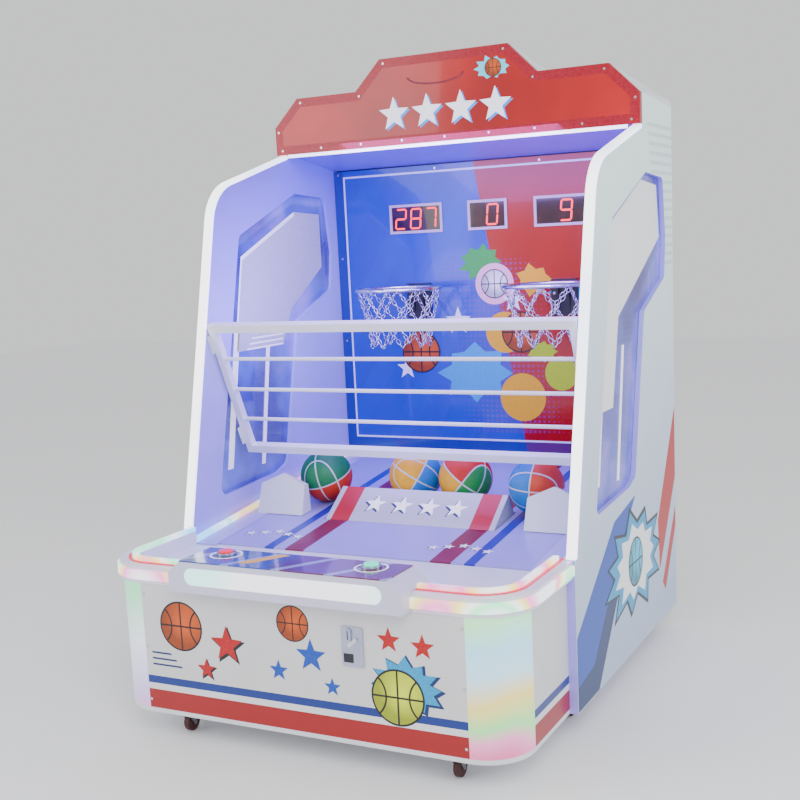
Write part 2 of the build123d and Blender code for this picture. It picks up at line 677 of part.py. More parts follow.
with BuildPart() as hoop_brackets:
    for side in (-1, 1):
        x = side * RING_X
        y0 = BACKBOARD_Y - BRACKET_T
        bar(x - BRACKET_HALF, x + BRACKET_HALF, y0, BACKBOARD_Y, RING_Z - 132, RING_Z + 14)
        for web in (-22.0, 22.0):
            with BuildSketch(side_plane(x + web - 2.5)):
                with BuildLine():
                    Polyline((y0, RING_Z - 110), (y0, RING_Z - 14), (y0 - 20, RING_Z - 14), close=True)
                make_face()
            extrude(amount=5)
save(hoop_brackets, "hoop_brackets")

NET_TOP_R = 158.0
NET_LOW_R = 117.0
NET_T = 4.0
NET_TOP_Z = RING_Z - RING_BAR - 2
NET_LOW_Z = NET_TOP_Z - 236
for side, name in ((-1, "chain_net_left"), (1, "chain_net_right")):
    with BuildPart() as net:
        with BuildSketch(Plane(origin=(side * RING_X, RING_Y, 0), x_dir=(1, 0, 0), z_dir=(0, -1, 0))):
            with BuildLine():
                outer = Spline(
                    (NET_TOP_R, NET_TOP_Z),
                    (NET_LOW_R + 12, NET_TOP_Z - 120),
                    (NET_LOW_R, NET_LOW_Z),
                )
                Line((NET_LOW_R, NET_LOW_Z), (NET_LOW_R - NET_T, NET_LOW_Z))
                inner = Spline(
                    (NET_LOW_R - NET_T, NET_LOW_Z),
                    (NET_LOW_R + 12 - NET_T, NET_TOP_Z - 120),
                    (NET_TOP_R - NET_T, NET_TOP_Z),
                )
                Line((NET_TOP_R - NET_T, NET_TOP_Z), (NET_TOP_R, NET_TOP_Z))
            make_face()
        revolve(axis=Axis((side * RING_X, RING_Y, 0), (0, 0, 1)))
    save(net, name)

# ---- safety rail --------------------------------------------------------------------------
RAIL_TOP = (-156.0, 1308.0)  # Y, Z of the top bar
RAIL_LOW = (42.0, 830.0)  # Y, Z of the bottom bar
RAIL_END = 708.0
BAR_HALF = 15.0
ROD_R = 7.0
POST_W = 26.0
rail_pieces = []
lean_angle = degrees(atan((RAIL_LOW[0] - RAIL_TOP[0]) / (RAIL_TOP[1] - RAIL_LOW[1])))
rail_up = (0, -sin(radians(lean_angle)), cos(radians(lean_angle)))
rail_lean = Plane(origin=(0, RAIL_LOW[0], RAIL_LOW[1]), x_dir=(1, 0, 0), z_dir=rail_up)
rail_length = sqrt((RAIL_TOP[0] - RAIL_LOW[0]) ** 2 + (RAIL_TOP[1] - RAIL_LOW[1]) ** 2)
inner_end = RAIL_END - POST_W
for level in (0, rail_length):
    with BuildPart() as piece:
        with Locations(rail_lean.offset(level)):
            Box(2 * inner_end, 2 * BAR_HALF, 2 * BAR_HALF)
    rail_pieces.append(piece)
for index in (1, 2, 3):
    with BuildPart() as piece:
        middle = rail_lean.offset(rail_length * index / 4)
        with Locations(Plane(origin=middle.origin, z_dir=(1, 0, 0))):
            Cylinder(ROD_R, 2 * inner_end)
    rail_pieces.append(piece)
for side in (-1, 1):
    with BuildPart() as piece:
        middle = rail_lean.offset(rail_length / 2).origin
        post_x = side * (RAIL_END - POST_W / 2)
        with Locations(Plane(origin=(post_x, middle.Y, middle.Z), x_dir=(1, 0, 0), z_dir=rail_up)):
            Box(POST_W, 2 * BAR_HALF, rail_length + 2 * BAR_HALF)
    rail_pieces.append(piece)
    for share in (0.12, 0.88):
        with BuildPart() as piece:
            spot = rail_lean.offset(rail_length * share).origin
            span = INNER_X - RAIL_END
            x = side * (RAIL_END + span / 2)
            with Locations(Plane(origin=(x, spot.Y, spot.Z), x_dir=(1, 0, 0), z_dir=rail_up)):
                Box(span, 50, 70)
        rail_pieces.append(piece)
save_group(rail_pieces, "safety_rail")

# ---- console ------------------------------------------------------------------------------
CONSOLE_FRONT_Y = FRONT_Y + 2
CONSOLE_TOP_Z = 637.0
PLATE_T = 4.0
SHOULDER_Z = 600.0
CONSOLE_TOP_HALF = 366.0
LENS_HALF = 347.0
LENS_Z = 592.0
LENS_H = 54.0
BUTTON_X = 260.0
BUTTON_Y = -767.0
WALL = 4.0


def console_outline(inset):
    """Front outline of the console."""
    side = CONSOLE_HALF - 0.5 - inset
    top = CONSOLE_TOP_HALF - inset
    with BuildLine() as outline:
        Polyline(
            (-side, RIM_BOTTOM + 3 + inset),
            (-side, SHOULDER_Z),
            (-top, CONSOLE_TOP_Z),
            (top, CONSOLE_TOP_Z),
            (side, SHOULDER_Z),
            (side, RIM_BOTTOM + 3 + inset),
            close=True,
        )
    make_face(outline.edges())


with BuildPart() as console_housing:
    with BuildSketch(front_plane(CONSOLE_REAR_Y - 0.5)):
        console_outline(0)
    extrude(amount=CONSOLE_REAR_Y - 0.5 - CONSOLE_FRONT_Y)
    with BuildSketch(front_plane(CONSOLE_REAR_Y - 0.5 - WALL)):
        console_outline(WALL)
    extrude(amount=CONSOLE_REAR_Y - 0.5 - CONSOLE_FRONT_Y - 2 * WALL, mode=Mode.SUBTRACT)
    with BuildSketch(front_plane(CONSOLE_FRONT_Y + WALL)):
        with Locations((0, LENS_Z)):
            SlotOverall(2 * LENS_HALF - 8, LENS_H - 8)
    extrude(amount=WALL, mode=Mode.SUBTRACT)
save(console_housing, "console_housing")

with BuildPart() as console_lens:
    with BuildSketch(front_plane(CONSOLE_FRONT_Y)):
        with Locations((0, LENS_Z)):
            SlotOverall(2 * LENS_HALF, LENS_H)
    extrude(amount=2)
    with BuildSketch(front_plane(CONSOLE_FRONT_Y + WALL)):
        with Locations((0, LENS_Z)):
            SlotOverall(2 * LENS_HALF - 9, LENS_H - 9)
    extrude(amount=WALL)
save(console_lens, "console_lens")

BARREL_R = 12.0
PLATE_TOP = CONSOLE_TOP_Z + PLATE_T
with BuildPart() as console_plate:
    plate_y0 = CONSOLE_FRONT_Y + 1
    plate_y1 = CONSOLE_REAR_Y - 2
    bar(-CONSOLE_TOP_HALF, CONSOLE_TOP_HALF, plate_y0, plate_y1, CONSOLE_TOP_Z, PLATE_TOP)
    with Locations((-BUTTON_X, BUTTON_Y, CONSOLE_TOP_Z), (BUTTON_X, BUTTON_Y, CONSOLE_TOP_Z)):
        Cylinder(BARREL_R + 0.3, 20, mode=Mode.SUBTRACT)
save(console_plate, "console_plate")

BEZEL_R = 31.0
CAP_R = 23.0
STEM_R = 7.6
BUTTON_SPOTS = ((-BUTTON_X, BUTTON_Y), (BUTTON_X, BUTTON_Y))
with BuildPart() as button_housings:
    for x, y in BUTTON_SPOTS:
        with Locations((x, y, PLATE_TOP)):
            Cylinder(BEZEL_R, 9, align=up)
        with Locations((x, y, PLATE_TOP - 41)):
            Cylinder(BARREL_R, 41, align=up)
        with Locations((x, y, PLATE_TOP + 2)):
            Cylinder(CAP_R + 0.6, 20, align=up, mode=Mode.SUBTRACT)
        with Locations((x, y, PLATE_TOP - 50)):
            Cylinder(STEM_R + 0.4, 60, align=up, mode=Mode.SUBTRACT)
    tops = button_housings.edges().filter_by(GeomType.CIRCLE).group_by(Axis.Z)[-1]
    fillet(tops.group_by(SortBy.RADIUS)[-1], 2.5)
save(button_housings, "button_housings")

for (x, y), name in zip(BUTTON_SPOTS, ("start_button_left", "start_button_right")):
    with BuildPart() as button:
        with Locations((x, y, PLATE_TOP - 38)):
            Cylinder(STEM_R, 44, align=up)
        with Locations((x, y, PLATE_TOP + 6)):
            Cylinder(CAP_R, 9, align=up)
        rim_edge = button.edges().filter_by(GeomType.CIRCLE).group_by(Axis.Z)[-1]
        fillet(rim_edge, 4)
    save(button, name)

# ---- coin mechanism -----------------------------------------------------------------------
COIN_T = 4.0
COIN_FRONT = PANEL_Y - COIN_T
CUP_X = COIN_X - 14.0
CUP_Z = COIN_Z - 36.0
CUP_W = 34.0
CUP_H = 28.0
CUP_DEPTH = 26.0
LEVER_X = COIN_X + 14.0
LEVER_Z = COIN_Z + 24.0

FLAP_AXIS = Plane(origin=(CUP_X, COIN_FRONT + 2, CUP_Z + CUP_H / 2 - 2), z_dir=(1, 0, 0))
CUP_WALL = 2.0


def cup_box(grow):
    """X and Z limits of the coin return cup, made larger by grow."""
    half_w = CUP_W / 2 + grow
    half_h = CUP_H / 2 + grow
    return (CUP_X - half_w, CUP_X + half_w), (CUP_Z - half_h, CUP_Z + half_h)


with BuildPart() as coin_plate:
    with BuildSketch(front_plane(PANEL_Y)):
        with Locations((COIN_X, COIN_Z)):
            RectangleRounded(COIN_W, COIN_H, 6)
    extrude(amount=COIN_T)
    with BuildSketch(front_plane(COIN_FRONT)):
        with Locations((COIN_X - 12, COIN_Z + 36)):
            RectangleRounded(22, 42, 8)
    extrude(amount=5)
    cut(COIN_X - 13.6, COIN_X - 10.4, COIN_FRONT - 5, PANEL_Y, COIN_Z + 22, COIN_Z + 50)
    cup_x, cup_z = cup_box(CUP_WALL)
    bar(*cup_x, PANEL_Y, PANEL_Y + CUP_DEPTH, *cup_z)
    cup_x, cup_z = cup_box(0)
    cut(*cup_x, COIN_FRONT, PANEL_Y + CUP_DEPTH - CUP_WALL, *cup_z)
    with Locations(Plane(origin=(LEVER_X, PANEL_Y, LEVER_Z), z_dir=(0, 1, 0))):
        Cylinder(4 + SHAFT_FIT, 30, mode=Mode.SUBTRACT)
    with Locations(FLAP_AXIS):
        Cylinder(1.5 + SHAFT_FIT, CUP_W + 5, mode=Mode.SUBTRACT)
save(coin_plate, "coin_plate")

with BuildPart() as coin_return_flap:
    cup_x, cup_z = cup_box(-0.6)
    bar(*cup_x, COIN_FRONT + 1, COIN_FRONT + 2.6, cup_z[0], cup_z[1] - 1.4)
    with Locations(FLAP_AXIS):
        Cylinder(1.5, CUP_W + 4)
save(coin_return_flap, "coin_return_flap")

LEVER_LEN = 40.0
LEVER_TILT = 40.0
lever_dir = (-cos(radians(LEVER_TILT)), 0, -sin(radians(LEVER_TILT)))
with BuildPart() as coin_reject_lever:
    with BuildSketch(Plane(origin=(LEVER_X, COIN_FRONT - 1, LEVER_Z), x_dir=lever_dir, z_dir=(0, -1, 0))):
        with Locations((LEVER_LEN / 2 - 5, 0)):
            SlotOverall(LEVER_LEN, 11)
    extrude(amount=4)
    with Locations(Plane(origin=(LEVER_X, PANEL_Y - 1, LEVER_Z), z_dir=(0, 1, 0))):
        Cylinder(4, 14)
save(coin_reject_lever, "coin_reject_lever")

ACCEPTOR_Y0 = PANEL_Y + SKIN + 16
with BuildPart() as coin_mechanism:
    bar(COIN_X - 25, COIN_X + 25, ACCEPTOR_Y0, ACCEPTOR_Y0 + 60, COIN_Z - 44, COIN_Z + 56)
    bar(COIN_X - 16, COIN_X + 16, ACCEPTOR_Y0 + 14, ACCEPTOR_Y0 + 46, COIN_Z - 150, COIN_Z - 44)
    cut(COIN_X - 13, COIN_X + 13, ACCEPTOR_Y0 + 17, ACCEPTOR_Y0 + 43, COIN_Z - 150, COIN_Z - 50)
    bar(COIN_X - 70, COIN_X + 70, FRAME_FRONT_Y + TUBE + 6, -600, TUBE_Z0, TUBE_Z0 + 120)
    cut(COIN_X - 67, COIN_X + 67, FRAME_FRONT_Y + TUBE + 9, -603, TUBE_Z0 + 3, TUBE_Z0 + 120)
save(coin_mechanism, "coin_mechanism")

with BuildPart() as control_electronics:
    bar(-600, -360, 480, 500, 330, 520)
    bar(-560, -400, 500, 512, 350, 500)
    bar(-600, -385, 560, 675, TUBE_Z0, TUBE_Z0 + 52)
save(control_electronics, "control_electronics")

# ---- balls --------------------------------------------------------------------------------
BALL_SPOTS = ((-440.0, 165.0), (-80.0, 223.0), (128.0, 223.0), (429.0, 166.0))
BALL_LIFT = BALL_R * sqrt(1 + DECK_RISE**2) + 0.3
for index, (x, y) in enumerate(BALL_SPOTS):
    with BuildPart() as ball:
        with Locations((x, y, deck_z(y) + BALL_LIFT)):
            Sphere(BALL_R)
            Sphere(BALL_R - BALL_WALL, mode=Mode.SUBTRACT)
    save(ball, "ball_" + str(index + 1))

# ---- casters ------------------------------------------------------------------------------
FRONT_CASTER = (495.0, -735.0)
MIDDLE_CASTER = (650.0, -184.0)
REAR_CASTER = (650.0, 780.0)
SWIVEL_PLATE_T = 3.0
FORK_TOP = 81.0
PEDAL_PIN_Y = 2.0
PEDAL_PIN_Z = 71.0
PEDAL_PIN_R = 2.0
PEDAL_HALF_W = 11.0
TRAIL = 26.0
WHEEL_W = 22.0
AXLE_R = 4.0
KINGPIN_R = 5.0
RACE_R = 19.0


def fork_shape(x, y, trail):
    """Two cheeks, their bridge and the axle of one caster."""
    for side in (-1, 1):
        cheek = WHEEL_W / 2 + 1.5
        with BuildSketch(side_plane(x + side * cheek - (3 if side < 0 else 0))) as profile:
            with BuildLine():
                Polyline(
                    (y - 17, FORK_TOP),
                    (y + 17, FORK_TOP),
                    (y + trail + 9, CASTER_R),
                    (y + trail + 5, CASTER_R - 8),
                    (y + trail - 5, CASTER_R - 8),
                    (y + trail - 9, CASTER_R),
                    close=True,
                )
            make_face()
        extrude(profile.sketch, amount=3)
    bar(x - WHEEL_W / 2 - 4.5, x + WHEEL_W / 2 + 4.5, y - 17, y + 17, FORK_TOP - 3, FORK_TOP)
    with Locations(Plane(origin=(x, y + trail, CASTER_R), z_dir=(1, 0, 0))):
        Cylinder(AXLE_R, WHEEL_W + 13)


SWIVEL_SPOTS = {
    "front_left": (-FRONT_CASTER[0], FRONT_CASTER[1]),
    "front_right": FRONT_CASTER,
    "middle_left": (-MIDDLE_CASTER[0], MIDDLE_CASTER[1]),
    "middle_right": MIDDLE_CASTER,
}
with BuildPart() as caster_mounts:
    for x, y in SWIVEL_SPOTS.values():
        bar(x - 32, x + 32, y - 32, y + 32, BASE_Z - SWIVEL_PLATE_T, BASE_Z)
        with Locations((x, y, FORK_TOP + 1)):
            Cylinder(RACE_R, BASE_Z - SWIVEL_PLATE_T - FORK_TOP - 1, align=up)
        with Locations((x, y, FORK_TOP - 6)):
            Cylinder(KINGPIN_R, 8, align=up)
    for side in (-1, 1):
        x, y = side * REAR_CASTER[0], REAR_CASTER[1]
        bar(x - 32, x + 32, y - 32, y + 32, BASE_Z - SWIVEL_PLATE_T, BASE_Z)
        bar(x - 15, x + 15, y - 17, y + 17, FORK_TOP, BASE_Z - SWIVEL_PLATE_T)
        fork_shape(x, y, 0)
save(caster_mounts, "caster_mounts")

for spot, (x, y) in SWIVEL_SPOTS.items():
    with BuildPart() as fork:
        fork_shape(x, y, TRAIL)
        with Locations(Plane(origin=(x, y + PEDAL_PIN_Y, PEDAL_PIN_Z), z_dir=(1, 0, 0))):
            Cylinder(PEDAL_PIN_R, WHEEL_W + 9)
        with Locations((x, y, FORK_TOP - 8)):
            Cylinder(KINGPIN_R + SHAFT_FIT, 20, align=up, mode=Mode.SUBTRACT)
    save(fork, "caster_fork_" + spot)


def wheel_shape(x, y):
    """One caster wheel with its bore."""
    with Locations(Plane(origin=(x, y, CASTER_R), z_dir=(1, 0, 0))):
        Cylinder(CASTER_R, WHEEL_W)
        Cylinder(AXLE_R + SHAFT_FIT, WHEEL_W, mode=Mode.SUBTRACT)


for spot, (x, y) in SWIVEL_SPOTS.items():
    with BuildPart() as wheel:
        wheel_shape(x, y + TRAIL)
        outer_edges = wheel.edges().filter_by(GeomType.CIRCLE).group_by(SortBy.RADIUS)[-1]
        fillet(outer_edges, 4)
    save(wheel, "caster_wheel_" + spot)
with BuildPart() as rear_wheels:
    for side in (-1, 1):
        wheel_shape(side * REAR_CASTER[0], REAR_CASTER[1])
    outer_edges = rear_wheels.edges().filter_by(GeomType.CIRCLE).group_by(SortBy.RADIUS)[-1]
    fillet(outer_edges, 4)
save(rear_wheels, "caster_wheels_rear")

for spot in ("front_left", "front_right"):
    x, y = SWIVEL_SPOTS[spot]
    with BuildPart() as pedal:
        with BuildSketch(side_plane(x - PEDAL_HALF_W)):
            with BuildLine():
                Polyline(
                    (y - 2, PEDAL_PIN_Z - 3),
                    (y - 2, PEDAL_PIN_Z + 3),
                    (y + 6, PEDAL_PIN_Z + 3),
                    (y + 44, PEDAL_PIN_Z - 1),
                    (y + 62, PEDAL_PIN_Z - 8),
                    (y + 61, PEDAL_PIN_Z - 11),
                    (y + 42, PEDAL_PIN_Z - 4),
                    (y + 6, PEDAL_PIN_Z - 3),
                    close=True,
                )
            make_face()
        extrude(amount=2 * PEDAL_HALF_W)
        bar(x - 17, x + 17, y + 46, y + 60, PEDAL_PIN_Z - 9, PEDAL_PIN_Z - 5)
        with Locations(Plane(origin=(x, y + PEDAL_PIN_Y, PEDAL_PIN_Z), z_dir=(1, 0, 0))):
            Cylinder(PEDAL_PIN_R + SHAFT_FIT, 40, mode=Mode.SUBTRACT)
    save(pedal, "brake_pedal_" + spot)

# ---- screws -------------------------------------------------------------------------------
SCREW_R = 4.5
SCREW_H = 2.0
marquee_screws = [(x, MARQUEE_HALF[0][1] + 16) for x in range(-720, 721, 180)]
for x, z in MARQUEE_HALF[1:]:
    marquee_screws += [(x - 16, z - 18), (-x + 16, z - 18)]
screw_x = BOARD_HALF_W - 21
backboard_screws = []
for z in (BACKBOARD_Z1 - 14, BACKBOARD_Z0 + 14):
    backboard_screws += [(x, z) for x in (-screw_x, -screw_x / 3, screw_x / 3, screw_x)]
for z in (814.0, 1170.0, 1527.0):
    backboard_screws += [(-screw_x, z), (screw_x, z)]
with BuildPart() as panel_screws:
    for x, z in marquee_screws:
        with Locations(Plane(origin=(x, MARQUEE_Y - SCREW_H / 2, z), z_dir=(0, 1, 0))):
            Cylinder(SCREW_R, SCREW_H)
    for z in (140.0, 320.0, 500.0):
        for x in (-STRIP_X + 8, STRIP_X - 8):
            with Locations(Plane(origin=(x, PANEL_Y - SCREW_H / 2, z), z_dir=(0, 1, 0))):
                Cylinder(SCREW_R, SCREW_H)
    for side in (-1, 1):
        for bolt_x in (-40.0, 40.0):
            for bolt_z in (RING_Z - 118, RING_Z - 42):
                x = side * RING_X + bolt_x
                y = BACKBOARD_Y - BRACKET_T - 3
                with Locations(Plane(origin=(x, y, bolt_z), z_dir=(0, 1, 0))):
                    Cylinder(6, 6)
    for x, z in backboard_screws:
        with Locations(Plane(origin=(x, BACKBOARD_Y - SCREW_H / 2, z), z_dir=(0, 1, 0))):
            Cylinder(SCREW_R, SCREW_H)
save(panel_screws, "panel_screws")
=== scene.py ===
import math
import random

import bmesh
import bpy
from mathutils import Matrix, Vector


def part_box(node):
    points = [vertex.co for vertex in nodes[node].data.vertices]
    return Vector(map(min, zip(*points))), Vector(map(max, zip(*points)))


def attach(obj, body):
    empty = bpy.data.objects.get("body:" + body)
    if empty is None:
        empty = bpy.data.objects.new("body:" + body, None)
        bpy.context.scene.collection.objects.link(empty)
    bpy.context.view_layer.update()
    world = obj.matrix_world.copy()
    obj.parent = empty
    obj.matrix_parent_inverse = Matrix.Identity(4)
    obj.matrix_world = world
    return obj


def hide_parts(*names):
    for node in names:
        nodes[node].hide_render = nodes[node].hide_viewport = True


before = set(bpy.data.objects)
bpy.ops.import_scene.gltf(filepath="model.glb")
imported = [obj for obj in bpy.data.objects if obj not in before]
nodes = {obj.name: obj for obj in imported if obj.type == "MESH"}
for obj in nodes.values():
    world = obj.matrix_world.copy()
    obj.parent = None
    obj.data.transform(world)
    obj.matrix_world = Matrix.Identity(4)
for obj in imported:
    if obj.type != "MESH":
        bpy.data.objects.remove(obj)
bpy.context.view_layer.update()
MM = 0.001

# ---- node materials -----------------------------------------------------------------------
# Every material reads object coordinates, which are metres in the shared frame.


class Paint:
    """One procedural material with short ways to add and wire its nodes."""

    def __init__(self, name, roughness=0.4, metallic=0.0, coat=0.0):
        self.material = bpy.data.materials.new(name)
        self.material.use_nodes = True
        self.tree = self.material.node_tree
        self.shader = self.tree.nodes["Principled BSDF"]
        self.shader.inputs["Roughness"].default_value = roughness
        self.shader.inputs["Metallic"].default_value = metallic
        self.shader.inputs["Coat Weight"].default_value = coat
        self.place = self.tree.nodes.new("ShaderNodeTexCoord").outputs["Object"]
        self.parts = None

    def link(self, source, target):
        self.tree.links.new(source, target)

    def set(self, socket, value):
        """Wire a socket to another, or give it a plain value."""
        if isinstance(value, bpy.types.NodeSocket):
            self.link(value, socket)
        else:
            socket.default_value = value

    def axis(self, index):
        """X, Y or Z of the surface point."""
        if self.parts is None:
            self.parts = self.tree.nodes.new("ShaderNodeSeparateXYZ")
            self.link(self.place, self.parts.inputs[0])
        return self.parts.outputs[index]

    def math(self, operation, first, second=None):
        node = self.tree.nodes.new("ShaderNodeMath")
        node.operation = operation
        self.set(node.inputs[0], first)
        if second is not None:
            self.set(node.inputs[1], second)
        return node.outputs[0]

    def ramp(self, factor, stops, sharp=False):
        """Colour along a factor; stops are (place, colour)."""
        node = self.tree.nodes.new("ShaderNodeValToRGB")
        node.color_ramp.interpolation = "CONSTANT" if sharp else "LINEAR"
        elements = node.color_ramp.elements
        while len(elements) < len(stops):
            elements.new(0.5)
        for element, (spot, colour) in zip(elements, stops):
            element.position = spot
            element.color = (*colour, 1.0)
        self.link(factor, node.inputs[0])
        return node.outputs[0]

    def noise(self, scale, detail=3.0, stretch=None):
        node = self.tree.nodes.new("ShaderNodeTexNoise")
        node.inputs["Scale"].default_value = scale
        node.inputs["Detail"].default_value = detail
        source = self.place
        if stretch:
            mapping = self.tree.nodes.new("ShaderNodeMapping")
            mapping.inputs["Scale"].default_value = stretch
            self.link(self.place, mapping.inputs["Vector"])
            source = mapping.outputs[0]
        self.link(source, node.inputs["Vector"])
        return node.outputs["Fac"]

    def mix(self, factor, first, second, blend="MIX"):
        node = self.tree.nodes.new("ShaderNodeMix")
        node.data_type = "RGBA"
        node.blend_type = blend
        self.set(node.inputs["Factor"], factor)
        for socket, value in ((node.inputs[6], first), (node.inputs[7], second)):
            if isinstance(value, tuple):
                socket.default_value = (*value, 1.0)
            else:
                self.link(value, socket)
        return node.outputs[2]

    def between(self, value, low, high):
        """1 where a value lies between two limits."""
        return self.math(
            "MULTIPLY", self.math("GREATER_THAN", value, low), self.math("LESS_THAN", value, high),
        )

    def colour(self, value, wear=0.06, wear_scale=9.0):
        """Base colour with a faint uneven tone."""
        tone = self.noise(wear_scale, 4.0)
        shade = self.ramp(tone, [(0.3, (1 - wear,) * 3), (0.7, (1.0, 1.0, 1.0))])
        self.link(self.mix(1.0, value, shade, "MULTIPLY"), self.shader.inputs["Base Color"])

    def grain(self, scale, depth, stretch=None, rough=None):
        """Fine bump, and roughness that follows it."""
        fine = self.noise(scale, 2.0, stretch)
        bump = self.tree.nodes.new("ShaderNodeBump")
        bump.inputs["Distance"].default_value = depth
        self.link(fine, bump.inputs["Height"])
        self.link(bump.outputs[0], self.shader.inputs["Normal"])
        if rough:
            node = self.tree.nodes.new("ShaderNodeMapRange")
            node.inputs["To Min"].default_value = rough[0]
            node.inputs["To Max"].default_value = rough[1]
            self.link(fine, node.inputs["Value"])
            self.link(node.outputs[0], self.shader.inputs["Roughness"])
        return bump

    def glow(self, value, strength):
        self.set(self.shader.inputs["Emission Color"], value)
        self.shader.inputs["Emission Strength"].default_value = strength


BOARD_FRONT_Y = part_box("backboard")[0].y
PANEL_REAR_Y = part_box("side_panel_right")[1].y

WHITE = (0.82, 0.82, 0.9)
GREY = (0.7, 0.7, 0.71)
LAVENDER = (0.34, 0.3, 0.8)
BLUE = (0.0, 0.025, 0.24)
RED = (0.36, 0.0, 0.0015)
CRIMSON = (0.2, 0.0, 0.04)
DECK_BLUE = (0.0, 0.01, 0.4)


def plain(name, colour, roughness=0.4, wear=0.06, grain=900.0, depth=0.00008, metallic=0.0, coat=0.0):
    """Painted or moulded surface with a fine grain."""
    paint = Paint(name, roughness, metallic, coat)
    paint.colour(colour, wear)
    low, high = max(roughness - 0.08, 0.03), roughness + 0.1
    paint.grain(grain, depth, rough=(low, high))
    return paint.material


def metal(name, colour, roughness=0.25, stretch=(1.0, 1.0, 30.0), depth=0.00004):
    """Bare metal with brushing along one axis."""
    paint = Paint(name, roughness, 1.0)
    paint.colour(colour, 0.12, 30.0)
    paint.grain(400.0, depth, stretch, (max(roughness - 0.1, 0.04), roughness + 0.1))
    return paint.material


def ink(name, colour, glow=0.0, rough=0.35):
    """Printed colour with a fine screen in it."""
    paint = Paint(name, rough)
    tone = paint.noise(160.0, 1.0)
    lighter = tuple(min(1.0, c * 1.15 + 0.01) for c in colour)
    base = paint.ramp(tone, [(0.35, colour), (0.65, lighter)])
    paint.link(base, paint.shader.inputs["Base Color"])
    paint.grain(1200.0, 0.00003)
    if glow:
        paint.glow(base, glow)
    return paint.material


def light_strip(name, stops, scale, strength, stretch=(1.0, 1.0, 1.0)):
    """Lit diffuser whose colour drifts along it."""
    paint = Paint(name, 0.25)
    drift = paint.noise(scale, 0.0, stretch)
    tint = paint.ramp(drift, stops)
    paint.link(tint, paint.shader.inputs["Base Color"])
    paint.glow(tint, strength)
    paint.grain(300.0, 0.00005)
    return paint.material


RAINBOW = [
    (0.28, (0.25, 0.8, 1.0)),
    (0.38, (0.85, 1.0, 1.0)),
    (0.46, (0.3, 1.0, 0.5)),
    (0.52, (0.95, 1.0, 0.95)),
    (0.58, (1.0, 0.82, 0.2)),
    (0.64, (1.0, 0.25, 0.6)),
    (0.74, (0.9, 0.92, 1.0)),
]


def banded(name, low_colours, height=0.6):
    """Panel with level bands near its foot; low_colours are (height, colour from there up)."""
    paint = Paint(name, 0.35, coat=0.2)
    factor = paint.math("DIVIDE", paint.axis(2), height)
    stops = [(z / height, colour) for z, colour in low_colours]
    paint.colour(paint.ramp(factor, stops, sharp=True), 0.04)
    paint.grain(900.0, 0.00004, rough=(0.28, 0.42))
    return paint.material


PANEL_BANDS = [(0.0, RED), (0.175, (0.8, 0.8, 0.83)), (0.196, BLUE), (0.222, GREY)]


def striped_deck(name, base, red, blue):
    """Sheet with two stripes either side of the middle."""
    paint = Paint(name, 0.35, coat=0.15)
    across = paint.math("DIVIDE", paint.math("ABSOLUTE", paint.axis(0)), 0.75)
    stops = [(0.0, base), (0.243 / 0.75, red), (0.317 / 0.75, base)]
    if blue:
        stops += [(0.365 / 0.75, blue), (0.402 / 0.75, base)]
    paint.colour(paint.ramp(across, stops, sharp=True), 0.06, 5.0)
    paint.grain(700.0, 0.00006, rough=(0.28, 0.45))
    return paint.material


def corner_glow(name):
    """Lit corner column whose colour runs from mint through yellow and pink, up its height."""
    paint = Paint(name, 0.22, coat=0.3)
    drift = paint.math("MULTIPLY", paint.noise(5.0, 0.0), 0.24)
    height = paint.math("DIVIDE", paint.axis(2), 0.56)
    factor = paint.math("ADD", height, paint.math("SUBTRACT", drift, 0.12))
    right_stops = [
        (0.14, (0.75, 0.12, 0.3)),
        (0.26, (0.9, 0.3, 0.55)),
        (0.36, (0.3, 0.85, 0.3)),
        (0.5, (0.9, 0.7, 0.2)),
        (0.62, (0.5, 0.8, 1.0)),
        (0.8, (0.4, 0.8, 1.0)),
        (0.98, (0.45, 1.0, 0.5)),
    ]
    left_stops = [
        (0.1, (0.75, 0.25, 0.6)),
        (0.3, (0.6, 0.5, 0.85)),
        (0.6, (0.8, 0.85, 0.95)),
        (0.9, (0.3, 0.9, 0.5)),
    ]
    on_right = paint.math("GREATER_THAN", paint.axis(0), 0.0)
    tint = paint.mix(on_right, paint.ramp(factor, left_stops), paint.ramp(factor, right_stops))
    paint.link(tint, paint.shader.inputs["Base Color"])
    paint.glow(tint, 0.6)
    paint.grain(500.0, 0.00004)
    return paint.material


